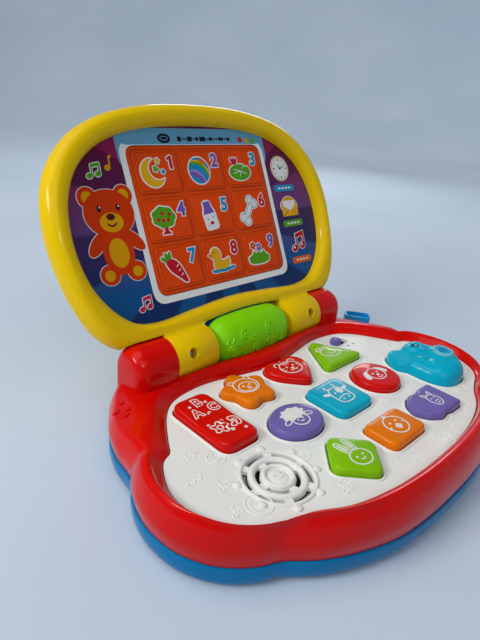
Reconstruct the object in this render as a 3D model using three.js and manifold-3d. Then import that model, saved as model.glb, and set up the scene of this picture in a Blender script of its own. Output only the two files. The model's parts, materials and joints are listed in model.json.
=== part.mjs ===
// Toy laptop computer, free-standing, lid open.
// Millimetres, +Z up, +X to the laptop's right, +Y to its back, origin on the surface it stands on.
// Pieces of the lid are drawn flat, as (across, up the lid, out of its face), in a group that turns
// about the hinge axis, so the same numbers hold for any lid angle.

import * as THREE from 'three';
import { mergeVertices } from 'three/addons/utils/BufferGeometryUtils.js';
import Module from 'manifold-3d';

const wasm = await Module();
wasm.setup();

// ---------------------------------------------------------------- driving dimensions

const FIT = 0.35; // clearance between two pieces that touch
const WALL = 2.4; // moulded wall thickness

const SHELL_FLOOR = 1.0; // underside of the bottom shell; only the feet reach lower
const FOOT_RADIUS = 7.0;
const PARTING_Z = 13.8; // joint between the bottom shell and the top shell
const PANEL_TOP = 31.0;
const PANEL_THICK = 2.4;
const RIM_TOP = 38.5; // crest of the rim, where the closed lid rests

const CENTRE_Y = -4.95; // shifts the outlines below so that the whole object is centred
const HINGE_Y = 47.3;
const HINGE_Z = 44.0;
const BARREL_RADIUS = 14.8;
const BARREL_IN = 36.6; // lid barrels and towers, measured across from the centre plane
const BARREL_OUT = 69.3;
const TOWER_OUT = 97.2;
const TOWER_CLEAR = 1.2; // the towers are upright below the axis, so the closed lid needs this much
const ROLLER_HALF = 36.0;
const ROLLER_END_RADIUS = 14.9;
const ROLLER_BULGE = 2.4; // extra radius of the roller at its middle
const PIN_RADIUS = 3.0;
const AXLE_RADIUS = 2.5;
const LID_OPEN_DEG = 116.5;

const BEZEL_CREST = 5.0; // out of the hinge plane, towards the user
const LID_PARTING = -4.6; // joint between the bezel and the lid back
const LID_BACK = -14.0;
const SCREEN_FACE = -3.4;

const BUTTON_TOP = PANEL_TOP + 5.4;
const KEY_FLANGE_TOP = PANEL_TOP - PANEL_THICK - FIT;
const KEY_FLANGE_THICK = 1.0;
const BOARD_TOP = 22.0;

// Right half of the panel's edge, from the middle of the front to the middle of the back.
const PANEL_EDGE = [
  [0, -103.0], [30, -102.0], [53.5, -98.9], [75, -94.3], [93.2, -87.1],
  [104.7, -81.1], [116.7, -71.9], [126, -57.0], [127.7, -40.8], [121.9, -26.5],
  [110.4, -15.5], [101.2, 2.9], [92.0, 14.4], [81.7, 22.4], [65.6, 26.2],
  [49.5, 26.2], [28.8, 21.9], [0, 17.3],
];
// The same places on the outer edge at the parting line.
const OUTER_EDGE = [
  [0, -117.3], [27, -116.4], [50, -113.3], [76, -104.4], [101.2, -88.4],
  [115.5, -80.2], [130, -66.7], [138.2, -50.5], [139.7, -34.0], [136.9, -19.5],
  [130.5, -5.2], [125.4, 16.7], [119.6, 30.4], [112.1, 42.8], [102.5, 55.0],
  [86.0, 63.6], [55.0, 66.2], [0, 66.2],
];
// Right half of the lid's outline and of its screen opening, from the middle of the bottom to the top.
const LID_EDGE = [
  [0, 13.0], [45, 12.4], [82, 11.6], [96, 13.4], [107.5, 23.0],
  [116, 40.0], [121.3, 62.0], [122.8, 84.0], [119.5, 106.0], [111, 124.0],
  [96, 139.5], [75, 150.5], [48, 157.2], [24, 159.6], [0, 160.2],
];
const SCREEN_EDGE = [
  [0, 27.6], [35, 25.6], [66, 23.4], [82, 26.5], [94.5, 36.5],
  [103.5, 50.5], [107.6, 66.0], [108.4, 84.0], [105.2, 101.5], [97, 117.5],
  [83, 130.5], [65, 139.0], [43, 143.8], [21, 145.6], [0, 146.0],
];

const COLOURS = {
  red: 0xc4120c,
  blue: 0x0a6fa8,
  white: 0xe6e4da,
  yellow: 0xe8c500,
  green: 0x76bf12,
  cyan: 0x11a9cc,
  purple: 0x6a5aa8,
  orange: 0xee7a08,
  screen: 0x2a3f8c,
  windows: 0xd8440e,
  rubber: 0x9a9a96,
  board: 0x1f6b3a,
  steel: 0xb9bcc0,
  black: 0x2b2b2d,
  cone: 0x4a4038,
  diode: 0xf3efe0,
};

// ---------------------------------------------------------------- outlines

const flat = (x, y) => new THREE.Vector2(x, y);

/** Closed curve, mirrored about x = 0, through the right half given, counter-clockwise. */
function mirrored(half, perSpan = 1) {
  const left = half.slice(1, -1).reverse().map(([x, y]) => [-x, y]);
  const knots = [...half, ...left].map(([x, y]) => new THREE.Vector3(x, y, 0));
  const curve = new THREE.CatmullRomCurve3(knots, true, 'centripetal');
  const points = curve.getPoints(knots.length * perSpan).slice(0, -1);
  return points.map((p) => flat(p.x, p.y));
}

/** Polygon with every corner rounded off, counter-clockwise. */
function rounded(corners, radius, steps = 3) {
  const shape = new THREE.Shape();
  corners.forEach(([x, y], i) => {
    const here = flat(x, y);
    const before = flat(...corners.at(i - 1));
    const after = flat(...corners[(i + 1) % corners.length]);
    const start = here.clone().add(before.sub(here).setLength(radius));
    const end = here.clone().add(after.sub(here).setLength(radius));
    if (i === 0) shape.moveTo(start.x, start.y);
    else shape.lineTo(start.x, start.y);
    shape.quadraticCurveTo(x, y, end.x, end.y);
  });
  const points = shape.getPoints(steps);
  return points.filter((p, i) => p.distanceTo(points.at(i - 1)) > 0.01);
}

const oblong = (width, height, radius, steps) => {
  const [w, h] = [width / 2, height / 2];
  return rounded([[-w, -h], [w, -h], [w, h], [-w, h]], radius, steps);
};

/** Outline given by its radius at each angle. */
function polar(radiusAt, count, squash = 1) {
  const angles = Array.from({ length: count }, (_, i) => (2 * Math.PI * i) / count);
  return angles.map((a) => flat(radiusAt(a) * Math.cos(a), squash * radiusAt(a) * Math.sin(a)));
}

const ellipse = (rx, ry, count = 20) => polar(() => rx, count, ry / rx);
const circle = (radius, count = 20) => ellipse(radius, radius, count);
const moved = (outline, x, y) => outline.map((p) => flat(p.x + x, p.y + y));

/** An outline moved out along its own normals. */
function grown(outline, distance) {
  const n = outline.length;
  return outline.map((p, i) => {
    const along = outline[(i + 1) % n].clone().sub(outline[(i + n - 1) % n]).normalize();
    return flat(p.x + along.y * distance, p.y - along.x * distance);
  });
}

/** Points between two matching outlines: a fraction of the way, then a distance further. */
function between(inner, outer, fraction, distance = 0) {
  return inner.map((p, i) => {
    const across = outer[i].clone().sub(p);
    const length = across.length();
    return p.clone().addScaledVector(across, fraction + distance / length);
  });
}

// ---------------------------------------------------------------- solids

const at = (outline, z) => outline.map((p) => new THREE.Vector3(p.x, p.y, z));

/** Joins rings of equal length into a closed surface: capped by fans, or turned back into itself. */
function skin(rings, loop = false) {
  const count = rings[0].length;
  const index = [];
  const bands = loop ? rings.length : rings.length - 1;
  for (let r = 0; r < bands; r += 1) {
    const here = r * count;
    const next = ((r + 1) % rings.length) * count;
    for (let i = 0; i < count; i += 1) {
      const j = (i + 1) % count;
      index.push(here + i, here + j, next + j, here + i, next + j, next + i);
    }
  }
  const points = rings.flat();
  if (!loop) {
    [rings[0], rings.at(-1)].forEach((rim, isTop) => {
      const middle = rim.reduce((sum, p) => sum.add(p), new THREE.Vector3()).divideScalar(count);
      const hub = points.push(middle) - 1;
      const first = isTop ? (rings.length - 1) * count : 0;
      for (let i = 0; i < count; i += 1) {
        const [a, b] = [first + i, first + ((i + 1) % count)];
        index.push(hub, ...(isTop ? [a, b] : [b, a]));
      }
    });
  }
  return new THREE.BufferGeometry().setFromPoints(points).setIndex(index);
}

/** A three.js geometry as a solid that can be joined and cut. */
function solid(geometry) {
  const bare = new THREE.BufferGeometry().setAttribute('position', geometry.getAttribute('position'));
  if (geometry.index) bare.setIndex(geometry.index);
  const merged = mergeVertices(bare, 1e-3);
  const position = merged.getAttribute('position');
  const corner = (i) => new THREE.Vector3().fromBufferAttribute(position, i);
  const faces = [];
  let volume = 0;
  for (let i = 0; i < merged.index.count; i += 3) {
    const face = [0, 1, 2].map((k) => merged.index.getX(i + k));
    if (new Set(face).size < 3) continue;
    const [a, b, c] = face.map(corner);
    volume += a.dot(b.cross(c));
    faces.push(face);
  }
  const triVerts = new Uint32Array(faces.flatMap(([a, b, c]) => (volume < 0 ? [a, c, b] : [a, b, c])));
  const vertProperties = new Float32Array(position.array);
  return new wasm.Manifold(new wasm.Mesh({ numProp: 3, vertProperties, triVerts }));
}

const join = (...solids) => solids.reduce((a, b) => a.add(b));
const cut = (body, ...tools) => tools.reduce((a, b) => a.subtract(b), body);

/** Straight-walled solid of an outline, with optional holes, from one height to another. */
function prism(outline, low, high, holes = []) {
  const shape = new THREE.Shape(outline);
  shape.holes = holes.map((hole) => new THREE.Path([...hole].reverse()));
  const geometry = new THREE.ExtrudeGeometry(shape, { depth: high - low, bevelEnabled: false });
  return solid(geometry.translate(0, 0, low));
}

/** Solid whose outline changes with height: a list of [outline, height]. */
const stack = (levels) => solid(skin(levels.map(([outline, z]) => at(outline, z))));

/** Hollow ring whose section is a closed list of [outline, height]. */
const ring = (levels) => solid(skin(levels.map(([outline, z]) => at(outline, z)), true));

/** Turned solid about the Z axis from [radius, height] points. */
function turnedZ(profile, segments = 20) {
  const points = profile.map(([r, z]) => flat(r, z));
  return solid(new THREE.LatheGeometry(points, segments).rotateX(Math.PI / 2));
}

/** Turned solid about the X axis from [radius, x] points. */
function turnedX(profile, segments = 28) {
  const points = profile.map(([r, x]) => flat(r, x));
  return solid(new THREE.LatheGeometry(points, segments).rotateZ(-Math.PI / 2));
}

const rodZ = (radius, low, high, segments = 16) =>
  turnedZ([[0, low], [radius, low], [radius, high], [0, high]], segments);
const rodX = (radius, low, high, segments = 16) =>
  turnedX([[0, low], [radius, low], [radius, high], [0, high]], segments);

function block(x0, x1, y0, y1, z0, z1) {
  const box = new THREE.BoxGeometry(x1 - x0, y1 - y0, z1 - z0);
  return solid(box.translate((x0 + x1) / 2, (y0 + y1) / 2, (z0 + z1) / 2));
}

// ---------------------------------------------------------------- assembly helpers

const laptop = new THREE.Group();
const base = new THREE.Group();
const lid = new THREE.Group();
base.position.set(0, CENTRE_Y, 0);
lid.position.set(0, CENTRE_Y + HINGE_Y, HINGE_Z);
lid.rotation.x = THREE.MathUtils.degToRad(180 - LID_OPEN_DEG);
laptop.add(base, lid);

/** Adds a named piece with its own material to a group. */
function piece(group, name, body, colour, roughness = 0.35, metalness = 0) {
  const mesh = body.getMesh();
  const geometry = new THREE.BufferGeometry();
  geometry.setAttribute('position', new THREE.BufferAttribute(mesh.vertProperties, 3));
  geometry.setIndex(new THREE.BufferAttribute(mesh.triVerts, 1));
  geometry.computeVertexNormals();
  const material = new THREE.MeshStandardMaterial({ color: COLOURS[colour], roughness, metalness });
  const node = new THREE.Mesh(geometry, material);
  node.name = name;
  group.add(node);
}

// ---------------------------------------------------------------- shared outlines and places

const panelEdge = mirrored(PANEL_EDGE);
const outerEdge = mirrored(OUTER_EDGE);
const lidEdge = mirrored(LID_EDGE);
const screenEdge = mirrored(SCREEN_EDGE);

// Each as [x, y, top of its boss in the top shell, radius of that boss].
const CASE_SCREWS = [-1, 1].flatMap((side) => [
  [side * 110, 14, RIM_TOP - 1.2, 3.6],
  [side * 50, -104.6, RIM_TOP - 1.2, 2.9],
  [side * 45, 51, 30, 3.6],
]);
const FEET = [[-108, -62], [108, -62], [-92, 38], [92, 38]];
const BATTERY_BAY = { x: 28.2, y0: -37, y1: -4, top: 19.6 };
const DOOR = { x: 31.0, y0: -40.6, y1: 5.4 };
const DOOR_SCREW = [0, 0.8];
const SPEAKER = { x: -80.5, y: -59.2, radius: 18.2 };
const SLIDER = { x: 64.5, y: 12.7, travel: 10 };
const LID_SCREWS = [[-108.4, 44], [108.4, 44], [-96.5, 129], [96.5, 129]];
const BARREL_SCREW_X = 57.5;

/** Small oval-head screw, head down, its head's face at the given height. */
function screw(x, y, headZ, length, headRadius = 2.5, shaftRadius = 1.3) {
  const profile = [
    [0, headZ], [headRadius * 0.7, headZ], [headRadius, headZ + 0.5], [headRadius, headZ + 1.2],
    [shaftRadius, headZ + 1.4], [shaftRadius, headZ + length - 1], [0, headZ + length],
  ];
  return turnedZ(profile, 8).translate([x, y, 0]);
}

/** What is cut for such a screw: the recess for its head, then the hole for its shaft. */
function screwHole(x, y, low, seatZ, top, headRadius = 2.5, shaftRadius = 1.3) {
  const head = rodZ(headRadius + 0.5, low, seatZ, 12);
  return join(head, rodZ(shaftRadius + 0.5, seatZ - 0.5, top, 8)).translate([x, y, 0]);
}

// ---------------------------------------------------------------- base: shells

/** The bottom shell's outer and inner outlines step in towards the panel's by a distance. */
const inset = (distance) => between(outerEdge, panelEdge, 0, distance);

function strapLoop() {
  const hollow = oblong(18.4, 8.4, 2.6);
  const tube = prism(oblong(21.6, 11.6, 3.6), 3.2, 32, [hollow]);
  const web = block(-7, 7, -13, -5.2, 3.2, PARTING_Z - FIT);
  return join(tube, web).rotate([0, 0, -50.4]).translate([127.4, 35.3, 0]);
}

function bottomShell() {
  const top = PARTING_Z - FIT;
  const outside = stack([
    [inset(5.6), SHELL_FLOOR], [inset(3.2), 2.0], [inset(1.2), 4.6], [inset(0.4), 8.5], [inset(0.2), top],
  ]);
  const hollow = stack([[inset(7.0), 3.4], [inset(3.6), 6.6], [inset(0.2 + WALL), top + 1]]);
  const bosses = CASE_SCREWS.map(([x, y]) => rodZ(4.4, 2, top, 8).translate([x, y, 0]));
  const bayX = BATTERY_BAY.x + 1.6;
  const bay = block(-bayX, bayX, BATTERY_BAY.y0 - 1.6, BATTERY_BAY.y1 + 1.6, 2, BATTERY_BAY.top);
  const doorBoss = rodZ(5.8, 2, 12, 12).translate([...DOOR_SCREW, 0]);
  const body = join(cut(outside, hollow), ...bosses, bay, doorBoss, strapLoop());
  const bayHollow = block(
    -BATTERY_BAY.x, BATTERY_BAY.x, BATTERY_BAY.y0, BATTERY_BAY.y1, 0, BATTERY_BAY.top - 1.2,
  );
  const wireHole = block(BATTERY_BAY.x - 1, BATTERY_BAY.x + 3, -22, -19, 14, 17);
  const rebate = block(-DOOR.x - FIT, DOOR.x + FIT, DOOR.y0 - FIT, DOOR.y1 + FIT, 0, 2.4);
  const footWells = FEET.map(([x, y]) => rodZ(FOOT_RADIUS + FIT, 0, 1.9, 16).translate([x, y, 0]));
  const holes = CASE_SCREWS.map(([x, y]) => screwHole(x, y, 0, 8, 20));
  const doorHole = join(rodZ(4.5, 0, 3.7, 12), rodZ(1.8, 0, 10, 8)).translate([...DOOR_SCREW, 0]);
  return cut(body, bayHollow, wireHole, rebate, ...footWells, ...holes, doorHole);
}

/** Across-the-rim position: a distance from the panel's edge, kept inside narrow stretches. */
function rimPoint(fromPanel, fromOuter = Infinity) {
  return panelEdge.map((p, i) => {
    const across = outerEdge[i].clone().sub(p);
    const width = across.length();
    const distance = fromOuter === Infinity
      ? Math.min(fromPanel, width * 0.44)
      : width - Math.min(fromOuter, width * 0.5);
    return p.clone().addScaledVector(across, distance / width);
  });
}

/** Radius of the roller at a distance from the centre plane. */
const rollerRadius = (x) => ROLLER_END_RADIUS + ROLLER_BULGE * (1 - (x / ROLLER_HALF) ** 2);

/** Turned space about the hinge axis that the lid's barrels and the roller turn in. */
function hingeSpace(extra, out) {
  const middle = [-ROLLER_HALF - 0.4, -18, 0, 18, ROLLER_HALF + 0.4];
  const radius = (x) => Math.max(rollerRadius(x), BARREL_RADIUS) + extra;
  const profile = middle.map((x) => [radius(x), x]);
  const end = BARREL_RADIUS + extra;
  return turnedX([[0, -out], [end, -out], ...profile, [end, out], [0, out]], 24);
}

/** Section of a hinge tower: upright walls below the axis, round above it. */
function towerSection(x, radius, foot) {
  const points = [new THREE.Vector3(x, -radius, foot)];
  for (let i = 0; i <= 8; i += 1) {
    const a = Math.PI * (1 - i / 8);
    points.push(new THREE.Vector3(x, radius * Math.cos(a), HINGE_Z + radius * Math.sin(a)));
  }
  points.push(new THREE.Vector3(x, radius, foot));
  return points;
}

const TOWER_STEPS = [[BARREL_OUT + 0.4, 0], [88, 0], [92, 0.7], [95, 2.4], [96.6, 4.4], [TOWER_OUT, 6.6]];

function tower(side) {
  const foot = PARTING_Z + 0.4;
  const rings = TOWER_STEPS.map(([x, less]) => towerSection(x, BARREL_RADIUS - less, foot));
  const geometry = skin(rings).scale(side, 1, 1).translate(0, HINGE_Y, 0);
  const bore = rodX(PIN_RADIUS + 0.3, 60, 84.3).scale([side, 1, 1]).translate([0, HINGE_Y, HINGE_Z]);
  const hollow = block(BARREL_OUT + 3, 90, -11.5, 8, foot - 5, 30).scale([side, 1, 1]);
  return cut(solid(geometry), bore, hollow.translate([0, HINGE_Y, 0]));
}

function topShell() {
  const lip = PANEL_TOP - 1.2;
  const crown = (share, drop, from) => [rimPoint(0, from), RIM_TOP - drop * share];
  const outside = [
    [rimPoint(FIT), lip], [rimPoint(0.5), PANEL_TOP + 0.6],
    [rimPoint(3.4), 37.2], [rimPoint(5.4), RIM_TOP],
    crown(0, 24, 8), crown(0.14, 24, 4.2), crown(0.36, 24, 1.6), crown(0.66, 24, 0.3),
    [between(panelEdge, outerEdge, 1), PARTING_Z],
  ];
  const inside = [
    [rimPoint(0, WALL), PARTING_Z], [rimPoint(0, WALL + 1.2), 29], [rimPoint(0, 8), RIM_TOP - WALL],
    [rimPoint(6), RIM_TOP - WALL], [rimPoint(3.2), 34], [rimPoint(2.6), lip],
  ];
  const rim = ring([...outside, ...inside]);
  const limits = prism(between(outerEdge, panelEdge, 0, 0.6), 20, RIM_TOP - 0.3);
  const tub = hingeSpace(0.8 + WALL, BARREL_OUT + 1).translate([0, HINGE_Y, HINGE_Z]).intersect(limits);
  const bosses = CASE_SCREWS.map(([x, y, top, radius]) => (
    rodZ(radius, PARTING_Z + 0.3, top, 8).translate([x, y, 0])
  ));
  const shell = join(rim, tub, tower(-1), tower(1), ...bosses);
  const trough = hingeSpace(0.8, BARREL_OUT + 0.4).translate([0, HINGE_Y, HINGE_Z]);
  const holes = CASE_SCREWS.map(([x, y]) => rodZ(1.8, 5, 25.2, 8).translate([x, y, 0]));
  return cut(shell, trough, ...holes);
}

// ---------------------------------------------------------------- base: keys and panel

const KEYS = [
  ['button_star', -39.7, 3.5, 'orange', polar((a) => 15.4 + 2.1 * Math.cos(5 * (a - Math.PI / 2)), 20)],
  ['button_heart', 1.2, 3.0, 'red', heart()],
  ['button_triangle', 42.6, 3.2, 'green', rounded([[-21.5, -15.5], [21.5, -15.5], [0, 19.5]], 7, 5)],
  ['button_oval', -39.7, -36.2, 'purple', ellipse(17.6, 14.2)],
  ['button_square', 1.2, -36.2, 'cyan', oblong(32, 31, 6, 4)],
  ['button_circle', 42.6, -36.2, 'red', circle(16.4, 22)],
  ['button_diamond', -39.7, -75.3, 'green', rounded([[0, -18.6], [18.6, 0], [0, 18.6], [-18.6, 0]], 5, 4)],
  ['button_rectangle', 1.2, -75.3, 'orange', oblong(34, 22.6, 4.5, 4)],
  ['button_fish', 43.2, -75.3, 'purple', fish()],
];
const ROCKER = { x: -77.3, y: -9.0, width: 25.4, length: 47.6, pivotZ: 26.8 };
const MOUSE = { x: 88.2, y: -50.5, top: 45.0 };

/** Heart with its point towards the user. */
function heart() {
  const half = [[0, -16.8], [8.5, -10.2], [15.6, -1.2], [16.8, 7.4], [10.8, 13.4], [4.2, 13.2], [0, 11.0]];
  return mirrored(half, 2);
}

/** Fish seen from above: a round body to the left and a square tail to the right. */
function fish() {
  const upper = [[18.4, 0], [18.4, 12.4], [3.6, 12.4], [1.4, 10.6], [-6, 12.6], [-14.2, 7.8]];
  const lower = upper.slice(1).reverse().map(([x, y]) => [x, -y]);
  return rounded([...upper, [-18.6, 0], ...lower], 1.2, 1);
}

/** Mouse seen from above: an egg with a nose at its back left. */
function mouseOutline() {
  const nose = (a) => 5.4 * Math.exp(-(((a - 2.25) / 0.42) ** 2));
  return polar((a) => 17.2 + 5.2 * Math.sin(a) ** 2 + nose(a), 24);
}

/** Key cap: a flange under the panel, upright walls and a rounded top. */
function cap(outline, top) {
  const low = KEY_FLANGE_TOP - KEY_FLANGE_THICK;
  return stack([
    [grown(outline, 1.2), low], [grown(outline, 1.2), KEY_FLANGE_TOP], [outline, KEY_FLANGE_TOP],
    [outline, top - 1.6], [grown(outline, -1.8), top],
  ]);
}

/** Seesaw key: two slopes that meet in a shallow valley, on trunnions under the panel. */
function rocker() {
  const [top, low] = [BUTTON_TOP + 0.7, KEY_FLANGE_TOP - 1];
  const outline = oblong(ROCKER.width, ROCKER.length, 5, 3);
  const body = stack([[outline, low], [outline, top - 1.6], [grown(outline, -1.8), top]]);
  const [reach, across, dip] = [ROCKER.length / 2 + 2, ROCKER.width, 1.4];
  const slopes = [[-reach, 1], [-reach, 0], [0, -dip], [reach, 0], [reach, 1]];
  const valley = new THREE.Shape(slopes.map(([x, y]) => flat(x, y)));
  const wedge = new THREE.ExtrudeGeometry(valley, { depth: across, bevelEnabled: false });
  wedge.translate(0, 0, -across / 2).rotateX(Math.PI / 2).rotateZ(Math.PI / 2).translate(0, 0, top);
  const half = ROCKER.width / 2 + 1.8;
  const trunnion = rodX(1.3, -half, half, 8).translate([0, 0, ROCKER.pivotZ]);
  return join(cut(body, solid(wedge)), trunnion).translate([ROCKER.x, ROCKER.y, 0]);
}

function mouse() {
  const outline = mouseOutline();
  const scaled = (k) => outline.map((p) => p.clone().multiplyScalar(k));
  const low = KEY_FLANGE_TOP - KEY_FLANGE_THICK;
  const body = stack([
    [grown(outline, 1.2), low], [grown(outline, 1.2), KEY_FLANGE_TOP], [outline, KEY_FLANGE_TOP],
    [outline, 37], [scaled(0.95), 40.2], [scaled(0.8), 43.0], [scaled(0.55), 44.6],
    [scaled(0.25), MOUSE.top],
  ]);
  return body.translate([MOUSE.x, MOUSE.y, 0]);
}

/** Slide switch: a stem in the slot and an oval knob just above the panel. */
function slider() {
  const stem = circle(2.5, 12);
  const knob = ellipse(4.6, 4.0, 12);
  const levels = [
    [stem, PANEL_TOP - 6], [stem, PANEL_TOP + 0.4], [knob, PANEL_TOP + 0.4], [knob, PANEL_TOP + 3.4],
    [grown(knob, -1.0), PANEL_TOP + 4.6],
  ];
  return stack(levels).translate([SLIDER.x, SLIDER.y, 0]);
}

/** Slots of the speaker grille: arcs about the speaker's centre. */
function grilleSlots() {
  const arc = (radius, width, from, to) => {
    const steps = 3;
    const edge = (r, a, b) => Array.from({ length: steps + 1 }, (_, i) => {
      const angle = THREE.MathUtils.degToRad(a + ((b - a) * i) / steps);
      return flat(SPEAKER.x + r * Math.cos(angle), SPEAKER.y + r * Math.sin(angle));
    });
    return [...edge(radius + width / 2, from, to), ...edge(radius - width / 2, to, from)];
  };
  const outer = [0, 1, 2, 3, 4, 5].map((i) => arc(16.4, 1.7, 12 + 60 * i, 52 + 60 * i));
  const inner = [0, 1, 2, 3].map((i) => arc(10.2, 1.5, 20 + 90 * i, 75 + 90 * i));
  return [...outer, ...inner];
}

function panel() {
  const keyHoles = KEYS.map(([, x, y, , outline]) => moved(grown(outline, 0.45), x, y));
  const rockerHole = moved(oblong(ROCKER.width + 0.9, ROCKER.length + 1.4, 5, 3), ROCKER.x, ROCKER.y);
  const mouseHole = moved(grown(mouseOutline(), 0.45), MOUSE.x, MOUSE.y);
  const slot = moved(oblong(SLIDER.travel + 6.6, 6.2, 3, 2), SLIDER.x + SLIDER.travel / 2, SLIDER.y);
  const holes = [...keyHoles, rockerHole, mouseHole, slot, ...grilleSlots()];
  const plate = prism(panelEdge, PANEL_TOP - PANEL_THICK, PANEL_TOP, holes);
  const ledge = prism(rimPoint(2.2), PANEL_TOP - PANEL_THICK, PANEL_TOP - 1.5, [rimPoint(-0.5)]);
  return join(plate, ledge);
}

// ---------------------------------------------------------------- base: inside

function membrane() {
  const outline = [
    [-92, -34], [-58, -34], [-58, -93], [64, -93], [74, -82], [108, -76],
    [108, -24], [84, 8], [60, 18], [-60, 20], [-86, 18], [-92, 10],
  ].map(([x, y]) => flat(x, y));
  const sheet = prism(outline, BOARD_TOP + 0.3, BOARD_TOP + 1.3);
  const places = KEYS.map(([, x, y]) => [x, y]);
  places.push([ROCKER.x, ROCKER.y + 14], [ROCKER.x, ROCKER.y - 14], [MOUSE.x, MOUSE.y]);
  const dome = [[0, BOARD_TOP + 0.6], [5, BOARD_TOP + 0.6], [4.2, BOARD_TOP + 2.2], [0, BOARD_TOP + 2.2]];
  return join(sheet, ...places.map(([x, y]) => turnedZ(dome, 8).translate([x, y, 0])));
}

function mainBoard() {
  const outline = [
    [-90, -32], [-56, -32], [-56, -91], [62, -91], [72, -80], [105, -74],
    [105, -26], [82, 6], [58, 16], [-58, 18], [-84, 16], [-90, 8],
  ].map(([x, y]) => flat(x, y));
  return prism(outline, BOARD_TOP - 1.6, BOARD_TOP);
}

function speakerBasket() {
  const profile = [
    [0, 8.5], [9.5, 8.5], [9.5, 16.2], [11, 17.2], [16.6, 26.6], [SPEAKER.radius, 26.6],
    [SPEAKER.radius, 28.2], [15.8, 28.2], [15.8, 27.2], [10, 18.6], [0, 18.6],
  ];
  return turnedZ(profile, 16).translate([SPEAKER.x, SPEAKER.y, 0]);
}

function speakerCone() {
  const profile = [
    [0, 19.2], [8.8, 19.2], [15, 26.4], [15, 27.6], [14, 27.4], [6, 20.4], [4, 22.4], [0, 23.4],
  ];
  return turnedZ(profile, 12).translate([SPEAKER.x, SPEAKER.y, 0]);
}

/** Size AA cell along X, positive end towards the side given. */
function battery(y, side) {
  const profile = [
    [0, -24.6], [7.0, -24.6], [7.1, -24], [7.1, 23.4], [6.6, 24], [2.7, 24], [2.7, 25.4], [0, 25.4],
  ];
  return turnedX(profile, 12).scale([side, 1, 1]).translate([0, y, 10.9]);
}

const CELL_Y = [BATTERY_BAY.y0 + 8.6, BATTERY_BAY.y1 - 8.6];

function flatContact() {
  const x = BATTERY_BAY.x - FIT;
  return block(x - 0.5, x, CELL_Y[0] - 5, CELL_Y[0] + 5, 5.5, 16.5);
}

/** Plate with the coned coil that presses on a cell's flat end, drawn as its outer shape. */
function springContact() {
  const x = BATTERY_BAY.x - FIT;
  const plate = block(x - 0.5, x, CELL_Y[1] - 5, CELL_Y[1] + 5, 5.5, 16.5);
  const coil = turnedX([[0, x - 2.6], [2, x - 2.6], [3.6, x - 0.3], [0, x - 0.3]], 8);
  return join(plate, coil.translate([0, CELL_Y[1], 10.9]));
}

function bridgeContact() {
  const x = -BATTERY_BAY.x + FIT;
  return block(x, x + 0.5, CELL_Y[0] - 5, CELL_Y[1] + 5, 5.5, 16.5);
}

function batteryDoor() {
  const plate = block(-DOOR.x, DOOR.x, DOOR.y0, DOOR.y1, SHELL_FLOOR + 0.1, 2.1);
  const tongue = block(-8, 8, DOOR.y0 + 3.8, DOOR.y0 + 5.2, 1.5, 4.0);
  const cup = rodZ(4.0, SHELL_FLOOR + 0.1, 3.3, 16).translate([...DOOR_SCREW, 0]);
  const head = rodZ(3.0, 0, 2.8, 16).translate([...DOOR_SCREW, 0]);
  return cut(join(plate, tongue, cup), head, rodZ(1.6, 0, 5, 12).translate([...DOOR_SCREW, 0]));
}

// ---------------------------------------------------------------- lid

/** Lid position across the frame, a distance from the screen opening or from the outer edge. */
const fromScreen = (distance) => between(screenEdge, lidEdge, 0, distance);
const fromEdge = (distance) => between(lidEdge, screenEdge, 0, distance);

/** Space that a tower needs in the lid at every angle. */
function towerSpace(side) {
  const profile = TOWER_STEPS.map(([x, less]) => [BARREL_RADIUS + TOWER_CLEAR - less, x]);
  profile[0][1] = BARREL_OUT;
  const shape = [[0, BARREL_OUT], ...profile, [0, TOWER_OUT + TOWER_CLEAR]];
  return turnedX(shape, 24).scale([side, 1, 1]);
}

function rollerSpace() {
  const stations = [-36.4, -18, 0, 18, 36.4];
  const profile = stations.map((x) => [Math.max(rollerRadius(x), ROLLER_END_RADIUS) + 0.9, x]);
  return turnedX([[0, -BARREL_IN], [profile[0][0], -BARREL_IN], ...profile.slice(1, -1),
    [profile[0][0], BARREL_IN], [0, BARREL_IN]], 24);
}

/** Hollow knuckle of the lid, bored at its outer end for the pin and at its inner for the axle. */
function barrel(side) {
  const [r, wall] = [BARREL_RADIUS, 2.6];
  const profile = [
    [AXLE_RADIUS + FIT, BARREL_IN], [r, BARREL_IN], [r, BARREL_OUT], [PIN_RADIUS + FIT, BARREL_OUT],
    [PIN_RADIUS + FIT, BARREL_OUT - 3], [r - wall, BARREL_OUT - 3], [r - wall, BARREL_IN + 3],
    [AXLE_RADIUS + FIT, BARREL_IN + 3], [AXLE_RADIUS + FIT, BARREL_IN],
  ];
  const body = turnedX(profile, 24).scale([side, 1, 1]);
  const boss = rodZ(4.4, -3, BARREL_RADIUS - 1.2, 12).translate([side * BARREL_SCREW_X, 0, 0]);
  return join(body, boss);
}

function barrelScrewHole(side) {
  const recess = rodZ(3.2, 9.6, BARREL_RADIUS + 2, 12);
  return join(recess, rodZ(1.8, -6, 10, 8)).translate([side * BARREL_SCREW_X, 0, 0]);
}

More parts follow.
